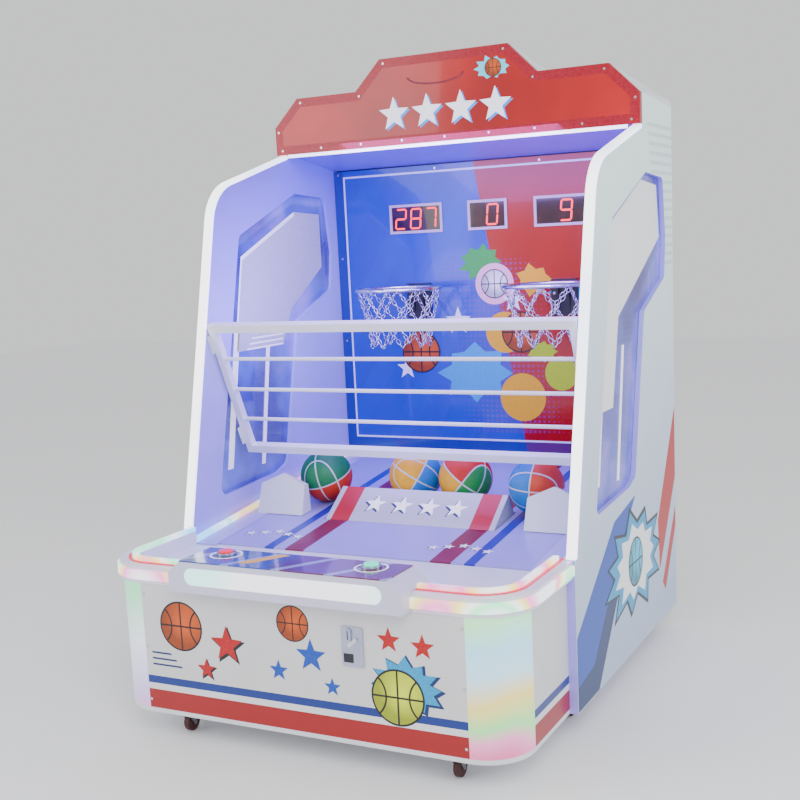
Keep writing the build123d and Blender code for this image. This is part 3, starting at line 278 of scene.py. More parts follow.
def side_print_and_painted_light(name, side):
    """Outside of a tall side panel, and its inner face in painted violet light from the lamps inside,
    changing with height; the whole panel has a faint painted glow.
    """
    paint = Paint(name, 0.38, coat=0.15)
    outer_face = paint.math("GREATER_THAN", paint.math("MULTIPLY", paint.axis(0), float(side)), 0.7495)
    rear_edge = paint.math("GREATER_THAN", paint.axis(1), PANEL_REAR_Y - 0.5 * MM)
    outside = paint.math("MAXIMUM", outer_face, rear_edge)
    height = paint.math("DIVIDE", paint.axis(2), 2.1)
    wall = paint.ramp(
        height, [(0.1, (0.4, 0.5, 0.68)), (0.45, (0.6, 0.68, 0.86)), (0.8, (0.78, 0.95, 0.94))],
    )
    lines = paint.math("SINE", paint.math("MULTIPLY", paint.axis(2), 190.0))
    slanting = paint.math("ADD", paint.axis(1), paint.math("MULTIPLY", paint.axis(2), 0.25))
    fade = paint.math("GREATER_THAN", slanting, 1.02)
    band = paint.between(paint.axis(2), 1.45, 1.98)
    hatch = paint.math(
        "MULTIPLY", paint.math("GREATER_THAN", lines, 0.35), paint.math("MULTIPLY", fade, band),
    )
    printed = paint.mix(paint.math("MULTIPLY", hatch, 0.55), wall, (0.42, 0.6, 0.6))
    # painted violet light of the lamps inside, on the inner face, changing with height
    painted_violet_light = paint.ramp(
        height, [(0.3, (0.36, 0.3, 0.9)), (0.6, (0.42, 0.4, 0.95)), (0.9, (0.24, 0.18, 0.92))],
    )
    skin = paint.mix(outside, painted_violet_light, printed)
    paint.colour(skin, 0.04)
    # faint painted glow over the whole panel, outside print included
    paint.glow(skin, 0.1)
    paint.grain(800.0, 0.00005, rough=(0.32, 0.45))
    return paint.material


def backboard_print(name):
    """Blue and red halves that meet on a slant, a thin border and a screen of dots."""
    paint = Paint(name, 0.22, coat=0.4)
    x, z = paint.axis(0), paint.axis(2)
    slant = paint.math("ADD", x, paint.math("MULTIPLY", z, 0.167))
    right = paint.math("GREATER_THAN", slant, 0.259)
    rays = paint.math(
        "SINE", paint.math("MULTIPLY", paint.math("ADD", x, paint.math("MULTIPLY", z, -0.6)), 26.0),
    )
    blue = paint.mix(
        paint.math("MULTIPLY", paint.math("GREATER_THAN", rays, 0.2), 0.22),
        (0.0, 0.02, 0.42),
        (0.0, 0.035, 0.52),
    )
    red = paint.mix(
        paint.math("MULTIPLY", paint.math("GREATER_THAN", rays, 0.2), 0.22),
        (0.34, 0.0, 0.002),
        (0.42, 0.0, 0.004),
    )
    halves = paint.mix(right, blue, red)
    pitch = 0.021
    dx = paint.math("SUBTRACT", paint.math("FRACT", paint.math("DIVIDE", x, pitch)), 0.5)
    dz = paint.math("SUBTRACT", paint.math("FRACT", paint.math("DIVIDE", z, pitch)), 0.5)
    dot = paint.math("MAXIMUM", paint.math("ABSOLUTE", dx), paint.math("ABSOLUTE", dz))
    away = paint.math("ABSOLUTE", paint.math("SUBTRACT", slant, 0.23))
    size = paint.math("SUBTRACT", 0.42, paint.math("MULTIPLY", away, 1.5))
    dots = paint.math("MULTIPLY", paint.math("LESS_THAN", dot, size), paint.between(z, 0.78, 1.5))
    screened = paint.mix(paint.math("MULTIPLY", dots, 0.5), halves, (0.12, 0.02, 0.3))
    edge_x = paint.between(paint.math("ABSOLUTE", x), 0.661, 0.669)
    inside_z = paint.between(z, 0.742, 1.875)
    edge_z = paint.math("MAXIMUM", paint.between(z, 0.742, 0.75), paint.between(z, 1.867, 1.875))
    inside_x = paint.math("LESS_THAN", paint.math("ABSOLUTE", x), 0.669)
    border = paint.math(
        "MAXIMUM", paint.math("MULTIPLY", edge_x, inside_z), paint.math("MULTIPLY", edge_z, inside_x),
    )
    past_x = paint.math("GREATER_THAN", paint.math("ABSOLUTE", x), 0.669)
    past_z = paint.math("LESS_THAN", z, 0.742)
    outside = paint.math("MAXIMUM", past_x, past_z)
    trimmed = paint.mix(paint.math("MULTIPLY", outside, 0.7), screened, (0.0, 0.015, 0.2))
    on_front = paint.math("LESS_THAN", paint.axis(1), BOARD_FRONT_Y + 0.5 * MM)
    printed = paint.mix(on_front, (0.12, 0.12, 0.13), paint.mix(border, trimmed, (0.7, 0.7, 0.98)))
    paint.colour(printed, 0.05)
    paint.glow(printed, 0.16)
    paint.grain(900.0, 0.00003, rough=(0.16, 0.3))
    return paint.material


def ball_icon(name, centre, radius, axes, base=(0.6, 0.09, 0.004)):
    """Flat drawing of a basketball: disc, seams and outline."""
    paint = Paint(name, 0.35)
    u = paint.math("DIVIDE", paint.math("SUBTRACT", paint.axis(axes[0]), centre[0]), radius)
    v = paint.math("DIVIDE", paint.math("SUBTRACT", paint.axis(axes[1]), centre[1]), radius)
    u2 = paint.math("MULTIPLY", u, u)
    v2 = paint.math("MULTIPLY", v, v)
    away = paint.math("SQRT", paint.math("ADD", u2, v2))
    shifted = paint.math("SUBTRACT", paint.math("ABSOLUTE", u), 1.3)
    arc = paint.math("SQRT", paint.math("ADD", paint.math("MULTIPLY", shifted, shifted), v2))
    side_seam = paint.math("LESS_THAN", paint.math("ABSOLUTE", paint.math("SUBTRACT", arc, 0.86)), 0.035)
    cross = paint.math(
        "LESS_THAN", paint.math("MINIMUM", paint.math("ABSOLUTE", u), paint.math("ABSOLUTE", v)), 0.035,
    )
    rim = paint.math("GREATER_THAN", away, 0.93)
    lines = paint.math("MAXIMUM", rim, paint.math("MAXIMUM", side_seam, cross))
    light = paint.math("ADD", away, paint.math("MULTIPLY", paint.math("ADD", u, v), -0.4))
    darker = tuple(c * 0.55 for c in base)
    body = paint.ramp(light, [(0.1, tuple(min(1, c * 1.25) for c in base)), (0.95, darker)])
    paint.colour(paint.mix(lines, body, (0.01, 0.008, 0.01)), 0.08, 60.0)
    paint.grain(900.0, 0.00003)
    return paint.material


def basketball(name, centre, turn, panels):
    """Pebbled ball with pale seams; panels are the lower, upper and, if any, end colours."""
    paint = Paint(name, 0.5)
    mapping = paint.tree.nodes.new("ShaderNodeMapping")
    mapping.vector_type = "TEXTURE"
    mapping.inputs["Location"].default_value = centre
    mapping.inputs["Rotation"].default_value = turn
    mapping.inputs["Scale"].default_value = (0.101, 0.101, 0.101)
    paint.link(paint.place, mapping.inputs["Vector"])
    split = paint.tree.nodes.new("ShaderNodeSeparateXYZ")
    paint.link(mapping.outputs[0], split.inputs[0])
    x, y, z = split.outputs
    shifted = paint.math("SUBTRACT", paint.math("ABSOLUTE", y), 1.25)
    arc = paint.math(
        "SQRT", paint.math("ADD", paint.math("MULTIPLY", shifted, shifted), paint.math("MULTIPLY", x, x)),
    )
    curved = paint.math("ABSOLUTE", paint.math("SUBTRACT", arc, 0.8))
    nearest = paint.math(
        "MINIMUM", curved, paint.math("MINIMUM", paint.math("ABSOLUTE", x), paint.math("ABSOLUTE", z)),
    )
    seam = paint.math("LESS_THAN", nearest, 0.028)
    upper = paint.math("GREATER_THAN", z, 0.0)
    colour = paint.mix(upper, panels[0], panels[1])
    if len(panels) > 2:
        colour = paint.mix(paint.math("LESS_THAN", arc, 0.8), colour, panels[2])
    paint.colour(paint.mix(seam, colour, (0.62, 0.62, 0.7)), 0.15, 40.0)
    pebble = paint.tree.nodes.new("ShaderNodeTexVoronoi")
    pebble.inputs["Scale"].default_value = 380.0
    paint.link(paint.place, pebble.inputs["Vector"])
    groove = paint.math("SUBTRACT", pebble.outputs["Distance"], paint.math("MULTIPLY", seam, 2.0))
    bump = paint.tree.nodes.new("ShaderNodeBump")
    bump.inputs["Distance"].default_value = 0.0006
    bump.inputs["Strength"].default_value = 0.6
    paint.link(groove, bump.inputs["Height"])
    paint.link(bump.outputs[0], paint.shader.inputs["Normal"])
    return paint.material


def console_print(name):
    """Printed console top, blue on the left and crimson on the right."""
    paint = Paint(name, 0.12, coat=0.6)
    across = paint.math("ADD", paint.math("MULTIPLY", paint.axis(0), 1.35), 0.5)
    base = paint.ramp(
        across,
        [
            (0.0, (0.0, 0.04, 0.35)),
            (0.42, (0.01, 0.06, 0.45)),
            (0.5, (0.12, 0.005, 0.1)),
            (1.0, (0.17, 0.0, 0.03)),
        ],
    )
    slant = paint.math("ADD", paint.axis(0), paint.math("MULTIPLY", paint.axis(1), -0.7))
    pale = paint.math(
        "MULTIPLY",
        paint.math("GREATER_THAN", paint.math("SINE", paint.math("MULTIPLY", slant, 34.0)), 0.86),
        0.6,
    )
    paint.colour(paint.mix(pale, base, (0.45, 0.55, 0.95)), 0.1)
    paint.grain(600.0, 0.00002, rough=(0.08, 0.2))
    return paint.material


def window_film(name):
    """Clear acrylic with a blue-violet film, and a faint painted glow of the lamps inside."""
    paint = Paint(name, 0.12, coat=0.5)
    cloud = paint.noise(3.2, 3.0)
    tint = paint.ramp(
        cloud, [(0.35, (0.05, 0.03, 0.38)), (0.55, (0.12, 0.16, 0.75)), (0.7, (0.4, 0.3, 0.9))],
    )
    paint.link(tint, paint.shader.inputs["Base Color"])
    # faint painted glow, standing in for the lamp light from inside the cabinet
    paint.glow(tint, 0.12)
    paint.shader.inputs["Alpha"].default_value = 0.72
    paint.grain(200.0, 0.00002, rough=(0.05, 0.2))
    return paint.material


def dress(node, material):
    """Give a CAD node its material."""
    mesh = nodes[node].data
    mesh.materials.clear()
    mesh.materials.append(material)


shell_white = plain("shell_white", WHITE, 0.34, coat=0.2)
dark_laminate = plain("dark_laminate", (0.035, 0.037, 0.045), 0.5, 0.25, 300.0, 0.00015)
zinc = metal("zinc", (0.55, 0.56, 0.58), 0.3)
chrome = metal("chrome", (0.72, 0.73, 0.78), 0.1, (1.0, 1.0, 1.0), 0.00001)
fork_steel = metal("fork_steel", (0.36, 0.37, 0.4), 0.28)
edge_glow = light_strip(
    "edge_glow",
    [(0.3, (0.75, 0.85, 1.0)), (0.45, (1.0, 1.0, 1.0)), (0.6, (0.92, 1.0, 0.95)), (0.7, (1.0, 0.95, 1.0))],
    2.4,
    2.6,
)
rim_glow = light_strip("rim_glow", RAINBOW, 4.2, 1.35)

looks = {
    "base_board": plain("base_melamine", (0.78, 0.79, 0.84), 0.4, 0.1, 250.0, 0.0001),
    "base_frame": plain("frame_black", (0.03, 0.03, 0.035), 0.45, 0.3, 500.0, 0.0001),
    "front_panel": banded("front_print", PANEL_BANDS),
    "lower_side_panels": banded("lower_side_print", PANEL_BANDS),
    "corner_lights": corner_glow("corner_glow"),
    "rim_shelf": plain("rim_paint", (0.8, 0.8, 0.93), 0.3, coat=0.3),
    "side_blocks": plain("block_paint", (0.8, 0.8, 0.9), 0.35, coat=0.1),
    "console_housing": plain("console_paint", (0.66, 0.64, 0.86), 0.32, coat=0.2),
    "roof_panel": shell_white,
    "rim_lights": rim_glow,
    "edge_lights": edge_glow,
    "play_deck": striped_deck("deck_print", LAVENDER, CRIMSON, DECK_BLUE),
    "deck_kerbs": plain("kerb_sheet", (0.45, 0.4, 0.86), 0.4, 0.08),
    "ball_gate": striped_deck("gate_print", (0.5, 0.5, 0.62), (0.48, 0.0, 0.002), None),
    "gate_drive": metal("drive_steel", (0.5, 0.5, 0.52), 0.3, (30.0, 1.0, 1.0)),
    "side_panel_left": side_print_and_painted_light("side_print_left", -1),
    "side_panel_right": side_print_and_painted_light("side_print_right", 1),
    "side_windows": window_film("window_film"),
    "back_panel": dark_laminate,
    "service_door": plain("door_laminate", (0.045, 0.047, 0.055), 0.48, 0.25, 300.0, 0.00015),
    "door_hinges": zinc,
    "door_lock": chrome,
    "power_inlet": plain("inlet_black", (0.02, 0.02, 0.022), 0.45, 0.2),
    "speakers": plain("speaker_black", (0.03, 0.03, 0.033), 0.6, 0.3, 500.0, 0.0004),
    "marquee_panel": ink("marquee_border", (0.3, 0.0, 0.012), 0.25, 0.2),
    "soffit_panel": plain("soffit_sheet", (0.22, 0.12, 0.9), 0.35, 0.08),
    "backboard": backboard_print("backboard_print"),
    "score_displays": plain("display_case", (0.62, 0.45, 0.6), 0.3, 0.1),
    "hoop_rings": chrome,
    "hoop_brackets": plain("bracket_black", (0.02, 0.02, 0.024), 0.38, 0.3),
    "safety_rail": plain("rail_white", (0.84, 0.84, 0.94), 0.3, coat=0.3),
    "console_lens": light_strip(
        "console_glow",
        [(0.35, (0.55, 1.0, 0.95)), (0.5, (0.9, 0.98, 1.0)), (0.65, (0.95, 0.9, 1.0))],
        2.5,
        1.2,
    ),
    "console_plate": console_print("console_print"),
    "button_housings": metal("bezel_plate", (0.35, 0.38, 0.5), 0.18, (1.0, 1.0, 1.0), 0.00002),
    "start_button_left": ink("cap_red", (0.75, 0.0, 0.03), 0.7, 0.15),
    "start_button_right": ink("cap_green", (0.03, 0.75, 0.4), 1.1, 0.15),
    "coin_plate": metal("coin_steel", (0.5, 0.53, 0.66), 0.3),
    "coin_reject_lever": metal("lever_steel", (0.75, 0.76, 0.8), 0.15, (30.0, 1.0, 1.0)),
    "coin_return_flap": plain("flap_black", (0.02, 0.02, 0.03), 0.35, 0.2),
    "coin_mechanism": zinc,
    "caster_mounts": zinc,
    "control_electronics": metal("supply_case", (0.6, 0.61, 0.62), 0.35, (1.0, 20.0, 1.0)),
    "panel_screws": metal("screw_steel", (0.7, 0.7, 0.73), 0.2, (1.0, 1.0, 1.0)),
    "caster_wheels_rear": plain("wheel_rubber", (0.07, 0.012, 0.012), 0.5, 0.25, 600.0, 0.0002),
}
for node, material in looks.items():
    dress(node, material)
for node in nodes:
    if node.startswith("caster_fork"):
        dress(node, fork_steel)
    if node.startswith("caster_wheel_"):
        dress(node, looks["caster_wheels_rear"])
    if node.startswith("brake_pedal"):
        dress(node, looks["hoop_brackets"])

# ---- flat artwork -------------------------------------------------------------------------
INK_T = 0.35 * MM
FRONT = (lambda u, v, w: (u, -w, v))
RIGHT = (lambda u, v, w: (w, u, v))
LEFT = (lambda u, v, w: (-w, u, v))


def link_mesh(name, bm, material, body, smooth=False):
    """Turn a bmesh into a piece that rides on a body."""
    bmesh.ops.recalc_face_normals(bm, faces=bm.faces)
    mesh = bpy.data.meshes.new(name)
    bm.to_mesh(mesh)
    bm.free()
    mesh.materials.append(material)
    if smooth:
        mesh.polygons.foreach_set("use_smooth", [True] * len(mesh.polygons))
    piece = bpy.data.objects.new(name, mesh)
    bpy.context.scene.collection.objects.link(piece)
    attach(piece, body)
    return piece


def add_plate(bm, outline, place, surface, thickness=INK_T):
    """Closed flat plate with an outline in a plane, standing on a surface."""
    low = [bm.verts.new(place(u, v, surface)) for u, v in outline]
    high = [bm.verts.new(place(u, v, surface + thickness)) for u, v in outline]
    bm.faces.new(low[::-1])
    bm.faces.new(high)
    for i in range(len(outline)):
        j = (i + 1) % len(outline)
        bm.faces.new((low[i], low[j], high[j], high[i]))


def artwork(
    name, outlines, place, surface, material, body="cabinet", thickness=INK_T,
):
    bm = bmesh.new()
    for outline in outlines:
        add_plate(bm, outline, place, surface, thickness)
    return link_mesh(name, bm, material, body)


def circle(u, v, radius, count=48):
    return [
        (
            u + radius * math.cos(math.tau * i / count), v + radius * math.sin(math.tau * i / count),
        ) for i in range(count)
    ]


def star(u, v, radius, points=5, inner=0.42, turn=0.0):
    """Star or burst outline."""
    shape = []
    for i in range(2 * points):
        reach = radius if i % 2 == 0 else radius * inner
        angle = turn + math.pi / 2 + math.pi * i / points
        shape.append((u + reach * math.cos(angle), v + reach * math.sin(angle)))
    return shape


def burst(u, v, width, height, points, seed, inner=0.72):
    """Uneven burst outline."""
    source = random.Random(seed)
    shape = []
    for i in range(2 * points):
        reach = (1.0 if i % 2 == 0 else inner) * source.uniform(0.88, 1.05)
        angle = math.tau * i / (2 * points)
        shape.append((u + width * reach * math.cos(angle), v + height * reach * math.sin(angle)))
    return shape


def moved(outline, du, dv):
    return [(u + du, v + dv) for u, v in outline]


def inset(outline, distance):
    """Outline moved inwards by a distance; it runs anticlockwise."""
    lines = []
    count = len(outline)
    for i in range(count):
        a, b = Vector(outline[i]), Vector(outline[(i + 1) % count])
        along = (b - a).normalized()
        normal = Vector((-along.y, along.x))
        lines.append((a + normal * distance, along))
    shape = []
    for i in range(count):
        (p, d), (q, e) = lines[i - 1], lines[i]
        cross = d.x * e.y - d.y * e.x
        t = ((q - p).x * e.y - (q - p).y * e.x) / cross
        shape.append(tuple(p + d * t))
    return shape


inks = {
    "black": ink("ink_black", (0.008, 0.008, 0.012)),
    "blue": ink("ink_blue", (0.0, 0.06, 0.42)),
    "sky": ink("ink_sky", (0.0, 0.3, 0.6)),
    "cyan": ink("ink_cyan", (0.1, 0.75, 0.9)),
    "navy": ink("ink_navy", (0.0, 0.02, 0.12)),
    "red": ink("ink_red", (0.45, 0.0, 0.002)),
    "white": ink("ink_white", (0.88, 0.88, 0.93)),
    "lit_white": ink("ink_lit_white", (0.9, 0.9, 0.97), 0.45),
    "lit_blue": ink("ink_lit_blue", (0.02, 0.3, 0.85), 0.3),
    "yellow": ink("ink_yellow", (0.75, 0.4, 0.0)),
    "lime": ink("ink_lime", (0.4, 0.6, 0.0)),
    "green": ink("ink_green", (0.01, 0.35, 0.04)),
    "pink": ink("ink_pink", (0.9, 0.4, 0.55)),
    "grey": ink("ink_grey", (0.5, 0.52, 0.58)),
}

PANEL_W = -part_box("front_panel")[0].y  # the front panel's outer face, as a distance towards the player


def ball_sign(name, u, v, radius, place, surface, axes, base=(0.6, 0.09, 0.004)):
    """Flat basketball drawing on a panel."""
    material = ball_icon(name + "_print", (u, v), radius, axes, base)
    return artwork(name, [circle(u, v, radius)], place, surface, material)


# front of the lower cabinet: balls, bursts and stars
ball_sign("front_ball_left", -0.425, 0.402, 0.083, FRONT, PANEL_W, (0, 2))
ball_sign("front_ball_middle", 0.0, 0.456, 0.058, FRONT, PANEL_W, (0, 2))
ball_sign("front_ball_right", 0.352, 0.266, 0.088, FRONT, PANEL_W + 2 * INK_T, (0, 2), (0.62, 0.72, 0.02))
artwork("front_burst_shadow", [burst(0.385, 0.3, 0.135, 0.098, 12, 4)], FRONT, PANEL_W, inks["navy"])
artwork("front_burst", [burst(0.38, 0.304, 0.125, 0.09, 12, 4)], FRONT, PANEL_W + INK_T, inks["sky"])
artwork(
    "front_stars_red",
    [star(-0.25, 0.36, 0.062), star(-0.335, 0.27, 0.035), star(0.33, 0.44, 0.04), star(0.44, 0.43, 0.04)],
    FRONT,
    PANEL_W + INK_T,
    inks["red"],
)
artwork(
    "front_stars_black",
    [moved(star(-0.25, 0.36, 0.068), 0.006, -0.006), moved(star(-0.335, 0.27, 0.04), 0.004, -0.004)],
    FRONT,
    PANEL_W,
    inks["black"],
)
artwork(
    "front_stars_blue",
    [star(0.06, 0.36, 0.055), star(-0.06, 0.3, 0.035), star(0.13, 0.27, 0.03)],
    FRONT,
    PANEL_W + INK_T,
    inks["blue"],
)
dashes = []
for i in range(3):
    drop = i * 0.02
    dashes.append(
        [
            (-0.55, 0.3 - drop),
            (-0.47 + drop, 0.3 - drop),
            (-0.475 + drop, 0.306 - drop),
            (-0.55, 0.306 - drop),
        ]
    )
artwork("front_dashes", dashes, FRONT, PANEL_W, inks["navy"])

# marquee
marquee_lo, marquee_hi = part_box("marquee_panel")
MARQUEE_HALF = [(0.75, marquee_lo.z), (0.75, 2.062), (0.641, 2.169), (0.374, 2.169), (0.263, marquee_hi.z)]
marquee_outline = MARQUEE_HALF + [(-x, z) for x, z in reversed(MARQUEE_HALF)]


def marquee_red(name):
    """Lit red face, uneven where the lamps are near."""
    paint = Paint(name, 0.15, coat=0.5)
    cloud = paint.noise(3.0, 2.0)
    tint = paint.ramp(
        cloud, [(0.35, (0.3, 0.0, 0.0015)), (0.6, (0.42, 0.0, 0.002)), (0.75, (0.52, 0.004, 0.008))],
    )
    paint.link(tint, paint.shader.inputs["Base Color"])
    paint.glow(tint, 0.35)
    paint.grain(500.0, 0.00003)
    return paint.material


MARQUEE_W = -marquee_lo.y
artwork(
    "marquee_face",
    [inset(marquee_outline, 0.034)],
    FRONT,
    MARQUEE_W,
    marquee_red("marquee_red"),
)
shadow = [star(x, 2.07, 0.066) for x in (-0.21, -0.07, 0.07, 0.21)]
artwork(
    "marquee_star_shadow",
    [moved(s, 0.008, -0.007) for s in shadow],
    FRONT,
    MARQUEE_W + INK_T,
    inks["lit_blue"],
)
artwork("marquee_stars", shadow, FRONT, MARQUEE_W + 2 * INK_T, inks["lit_white"])
artwork(
    "marquee_burst",
    [burst(0.2, 2.2, 0.075, 0.045, 10, 8)],
    FRONT,
    MARQUEE_W + INK_T,
    inks["cyan"],
)
ball_sign("marquee_ball", 0.205, 2.2, 0.033, FRONT, MARQUEE_W + 2 * INK_T, (0, 2))
hoop_line = [
    (
        -0.03 + 0.12 * math.cos(a), 2.2 + 0.035 * math.sin(a),
    ) for a in [math.pi * i / 20 for i in range(-20, 1)]
]
hoop_back = [
    (
        -0.03 + 0.11 * math.cos(a), 2.2 + 0.028 * math.sin(a),
    ) for a in [math.pi * i / 20 for i in range(0, -21, -1)]
]
artwork(
    "marquee_hoop_line",
    [hoop_line + hoop_back],
    FRONT,
    MARQUEE_W + INK_T,
    ink("marquee_dark", (0.18, 0.0, 0.02), 0.1),
)

# backboard art: balls and bursts, and the score digits
BOARD_W = -BOARD_FRONT_Y
artwork(
    "board_burst_green",
    [burst(-0.04, 1.49, 0.1, 0.08, 9, 3)],
    FRONT,
    BOARD_W,
    inks["green"],
)
artwork(
    "board_burst_pink",
    [circle(0.02, 1.4, 0.085)],
    FRONT,
    BOARD_W + INK_T,
    inks["pink"],
)
artwork(
    "board_burst_sky",
    [burst(-0.08, 1.03, 0.17, 0.13, 8, 5), burst(0.34, 1.36, 0.09, 0.06, 8, 9)],
    FRONT,
    BOARD_W,
    inks["sky"],
)
artwork(
    "board_yellow",
    [circle(0.06, 1.2, 0.085), circle(0.13, 0.93, 0.1), burst(0.19, 1.41, 0.08, 0.07, 7, 2)],
    FRONT,
    BOARD_W + INK_T,
    inks["yellow"],
)
artwork(
    "board_white_stars",
    [
        star(0.1, 1.33, 0.05),
        star(-0.15, 1.25, 0.06),
        star(0.45, 1.2, 0.06),
        star(-0.4, 1.05, 0.05),
        star(0.52, 0.98, 0.05),
    ],
    FRONT,
    BOARD_W + 2 * INK_T,
    inks["white"],
)
artwork(
    "board_lime",
    [circle(0.3, 1.03, 0.07), burst(0.22, 1.12, 0.07, 0.05, 9, 12)],
    FRONT,
    BOARD_W + INK_T,
    inks["lime"],
)
ball_sign("board_ball_a", 0.13, 1.2, 0.085, FRONT, BOARD_W + 3 * INK_T, (0, 2))
ball_sign("board_ball_b", -0.33, 1.12, 0.09, FRONT, BOARD_W + 3 * INK_T, (0, 2))
ball_sign(
    "board_ball_c",
    0.02,
    1.4,
    0.06,
    FRONT,
    BOARD_W + 3 * INK_T,
    (0, 2),
    (0.85, 0.85, 0.9),
)

SEGMENTS = {
    "0": "abcdef", "1": "bc", "2": "abged", "3": "abgcd", "4": "fgbc",
    "5": "afgcd", "6": "afgedc", "7": "abc", "8": "abcdefg", "9": "abcdfg",
}


DIGIT_W, DIGIT_H, DIGIT_PITCH, DIGIT_BAR = 0.045, 0.08, 0.07, 0.0075
DIGIT_BASE = 1.6425
DIGIT_LEAN = 0.09


def digit_bars(text, centre):
    """Outlines of the lit bars of leaning seven-segment digits."""
    bars = []
    half, quarter, b = DIGIT_W / 2, DIGIT_H / 4, DIGIT_BAR / 2
    for index, sign in enumerate(text):
        x = centre + (index - (len(text) - 1) / 2) * DIGIT_PITCH
        spots = {
            "a": (0, 4, True), "g": (0, 2, True), "d": (0, 0, True),
            "f": (-1, 3, False), "b": (1, 3, False), "e": (-1, 1, False), "c": (1, 1, False),
        }
        for key in SEGMENTS[sign]:
            side, step, level = spots[key]
            u, v = side * half, step * quarter
            reach = (half if level else quarter) - 0.0008
            ends = [
                (-reach, 0), (b - reach, -b), (reach - b, -b), (reach, 0), (reach - b, b), (b - reach, b)
            ]
            points = ends if level else [(q, p) for p, q in reversed(ends)]
            bars.append([(x + u + p + DIGIT_LEAN * (v + q), DIGIT_BASE + v + q) for p, q in points])
    return bars


def display_window(name):
    """Smoked window with a faint red glow behind it."""
    paint = Paint(name, 0.12, coat=0.6)
    cloud = paint.noise(20.0, 1.0)
    tint = paint.ramp(cloud, [(0.3, (0.02, 0.004, 0.008)), (0.7, (0.05, 0.008, 0.014))])
    paint.link(tint, paint.shader.inputs["Base Color"])
    paint.glow(tint, 0.3)
    paint.grain(400.0, 0.00002)
    return paint.material


PANE_GAP, PANE_FOOT, PANE_HEAD = 0.002, 1.633, 1.732
DISPLAYS = (
    ("left", -0.44, -0.212, "287", -0.33),
    ("middle", -0.078, 0.078, "0", 0.018),
    ("right", 0.212, 0.44, "9", 0.335),
)
smoked = display_window("display_window")
led_red = ink("led_red", (0.95, 0.02, 0.03), 2.6)
for label, x0, x1, digits, centre in DISPLAYS:
    left, right = x0 + PANE_GAP, x1 - PANE_GAP
    pane = [(left, PANE_FOOT), (right, PANE_FOOT), (right, PANE_HEAD), (left, PANE_HEAD)]
    artwork(
        "display_window_" + label,
        [pane],
        FRONT,
        BOARD_W - 2 * MM,
        smoked,
        thickness=4 * MM,
    )
    bars = digit_bars(digits, centre)
    artwork("display_digits_" + label, bars, FRONT, BOARD_W + 2 * MM, led_red)

# side panels: printed bands, a burst and a ball outside; a band and tubes on the windows
SIDE_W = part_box("side_panel_right")[1].x
PANE_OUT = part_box("side_windows")[1].x
PANE_IN = PANE_OUT - 4 * MM
BURST_Y, BURST_Z, BURST_POINTS, BURST_SEED = 0.28, 0.42, 11, 21
MARK_Y = 0.29  # middle of the white burst and the ball
for label, place in (("right", RIGHT), ("left", LEFT)):
    artwork(
        "side_band_navy_" + label,
        [[(-0.36, 0.1), (-0.15, 0.1), (0.25, 0.55), (0.12, 0.62), (-0.36, 0.32)]],
        place,
        SIDE_W,
        inks["navy"],
    )
    artwork(
        "side_band_blue_" + label,
        [[(-0.36, 0.34), (0.05, 0.62), (0.3, 0.66), (0.1, 0.5), (-0.2, 0.2), (-0.36, 0.18)]],
        place,
        SIDE_W + INK_T,
        inks["blue"],
    )
    artwork(
        "side_band_red_" + label,
        [
            [(0.62, 0.3), (0.86, 0.62), (0.86, 0.9), (0.6, 0.5)],
            [(0.86, 0.42), (0.86, 0.5), (0.66, 0.24), (0.7, 0.2)],
        ],
        place,
        SIDE_W,
        inks["red"],
    )
    artwork(
        "side_burst_black_" + label,
        [burst(BURST_Y, BURST_Z, 0.38, 0.21, BURST_POINTS, BURST_SEED, 0.7)],
        place,
        SIDE_W + 2 * INK_T,
        inks["black"],
    )
    artwork(
        "side_burst_blue_" + label,
        [burst(BURST_Y, BURST_Z, 0.355, 0.19, BURST_POINTS, BURST_SEED, 0.7)],
        place,
        SIDE_W + 3 * INK_T,
        inks["sky"],
    )
    artwork(
        "side_burst_white_" + label,
        [burst(MARK_Y, BURST_Z, 0.26, 0.145, BURST_POINTS, BURST_SEED, 0.76)],
        place,
        SIDE_W + 4 * INK_T,
        inks["white"],
    )
    ball_sign(
        "side_ball_" + label,
        MARK_Y,
        BURST_Z,
        0.09,
        place,
        SIDE_W + 5 * INK_T,
        (1, 2),
        (0.05, 0.5, 0.75),
    )
    band = [
        (0.02, 1.33),
        (0.091, 1.6),
        (0.5, 1.765),
        (0.705, 1.75),
        (0.735, 1.56),
        (0.2, 1.3),
        (0.12, 1.0),
        (-0.05, 1.0),
    ]
    artwork("window_band_" + label, [band], place, PANE_OUT, inks["white"])
    tubes = [
        [(-0.08, 0.76), (-0.045, 0.76), (0.06, 1.28), (0.025, 1.28)],
        [(0.15, 0.74), (0.175, 0.74), (0.26, 1.2), (0.235, 1.2)],
    ]
    artwork("window_tube_" + label, tubes, place, PANE_OUT, inks["lit_white"])
    sheet = [(0.02, 1.2), (0.1, 1.56), (0.5, 1.73), (0.7, 1.72), (0.7, 1.5), (0.44, 1.34), (0.36, 1.2)]
    artwork("window_sheet_" + label, [sheet], place, PANE_IN - INK_T, inks["grey"])
    hatch = []
    for i in range(5):
        rise = 0.02 * i
        hatch.append(
            [(0.1 + rise, 1.2 + rise), (0.36, 1.2 + rise), (0.36, 1.206 + rise), (0.1 + rise, 1.206 + rise)]
        )
    border = [
        [(0.02, 1.2), (0.03, 1.2), (0.11, 1.56), (0.1, 1.56)],
        [(0.1, 1.56), (0.11, 1.548), (0.5, 1.715), (0.5, 1.73)],
    ]
    artwork(
        "window_hatch_" + label,
        hatch + border,
        place,
        PANE_IN - 2 * INK_T,
        inks["lit_white"],
    )
    artwork("window_glow_" + label, tubes, place, PANE_IN - INK_T, inks["lit_white"])

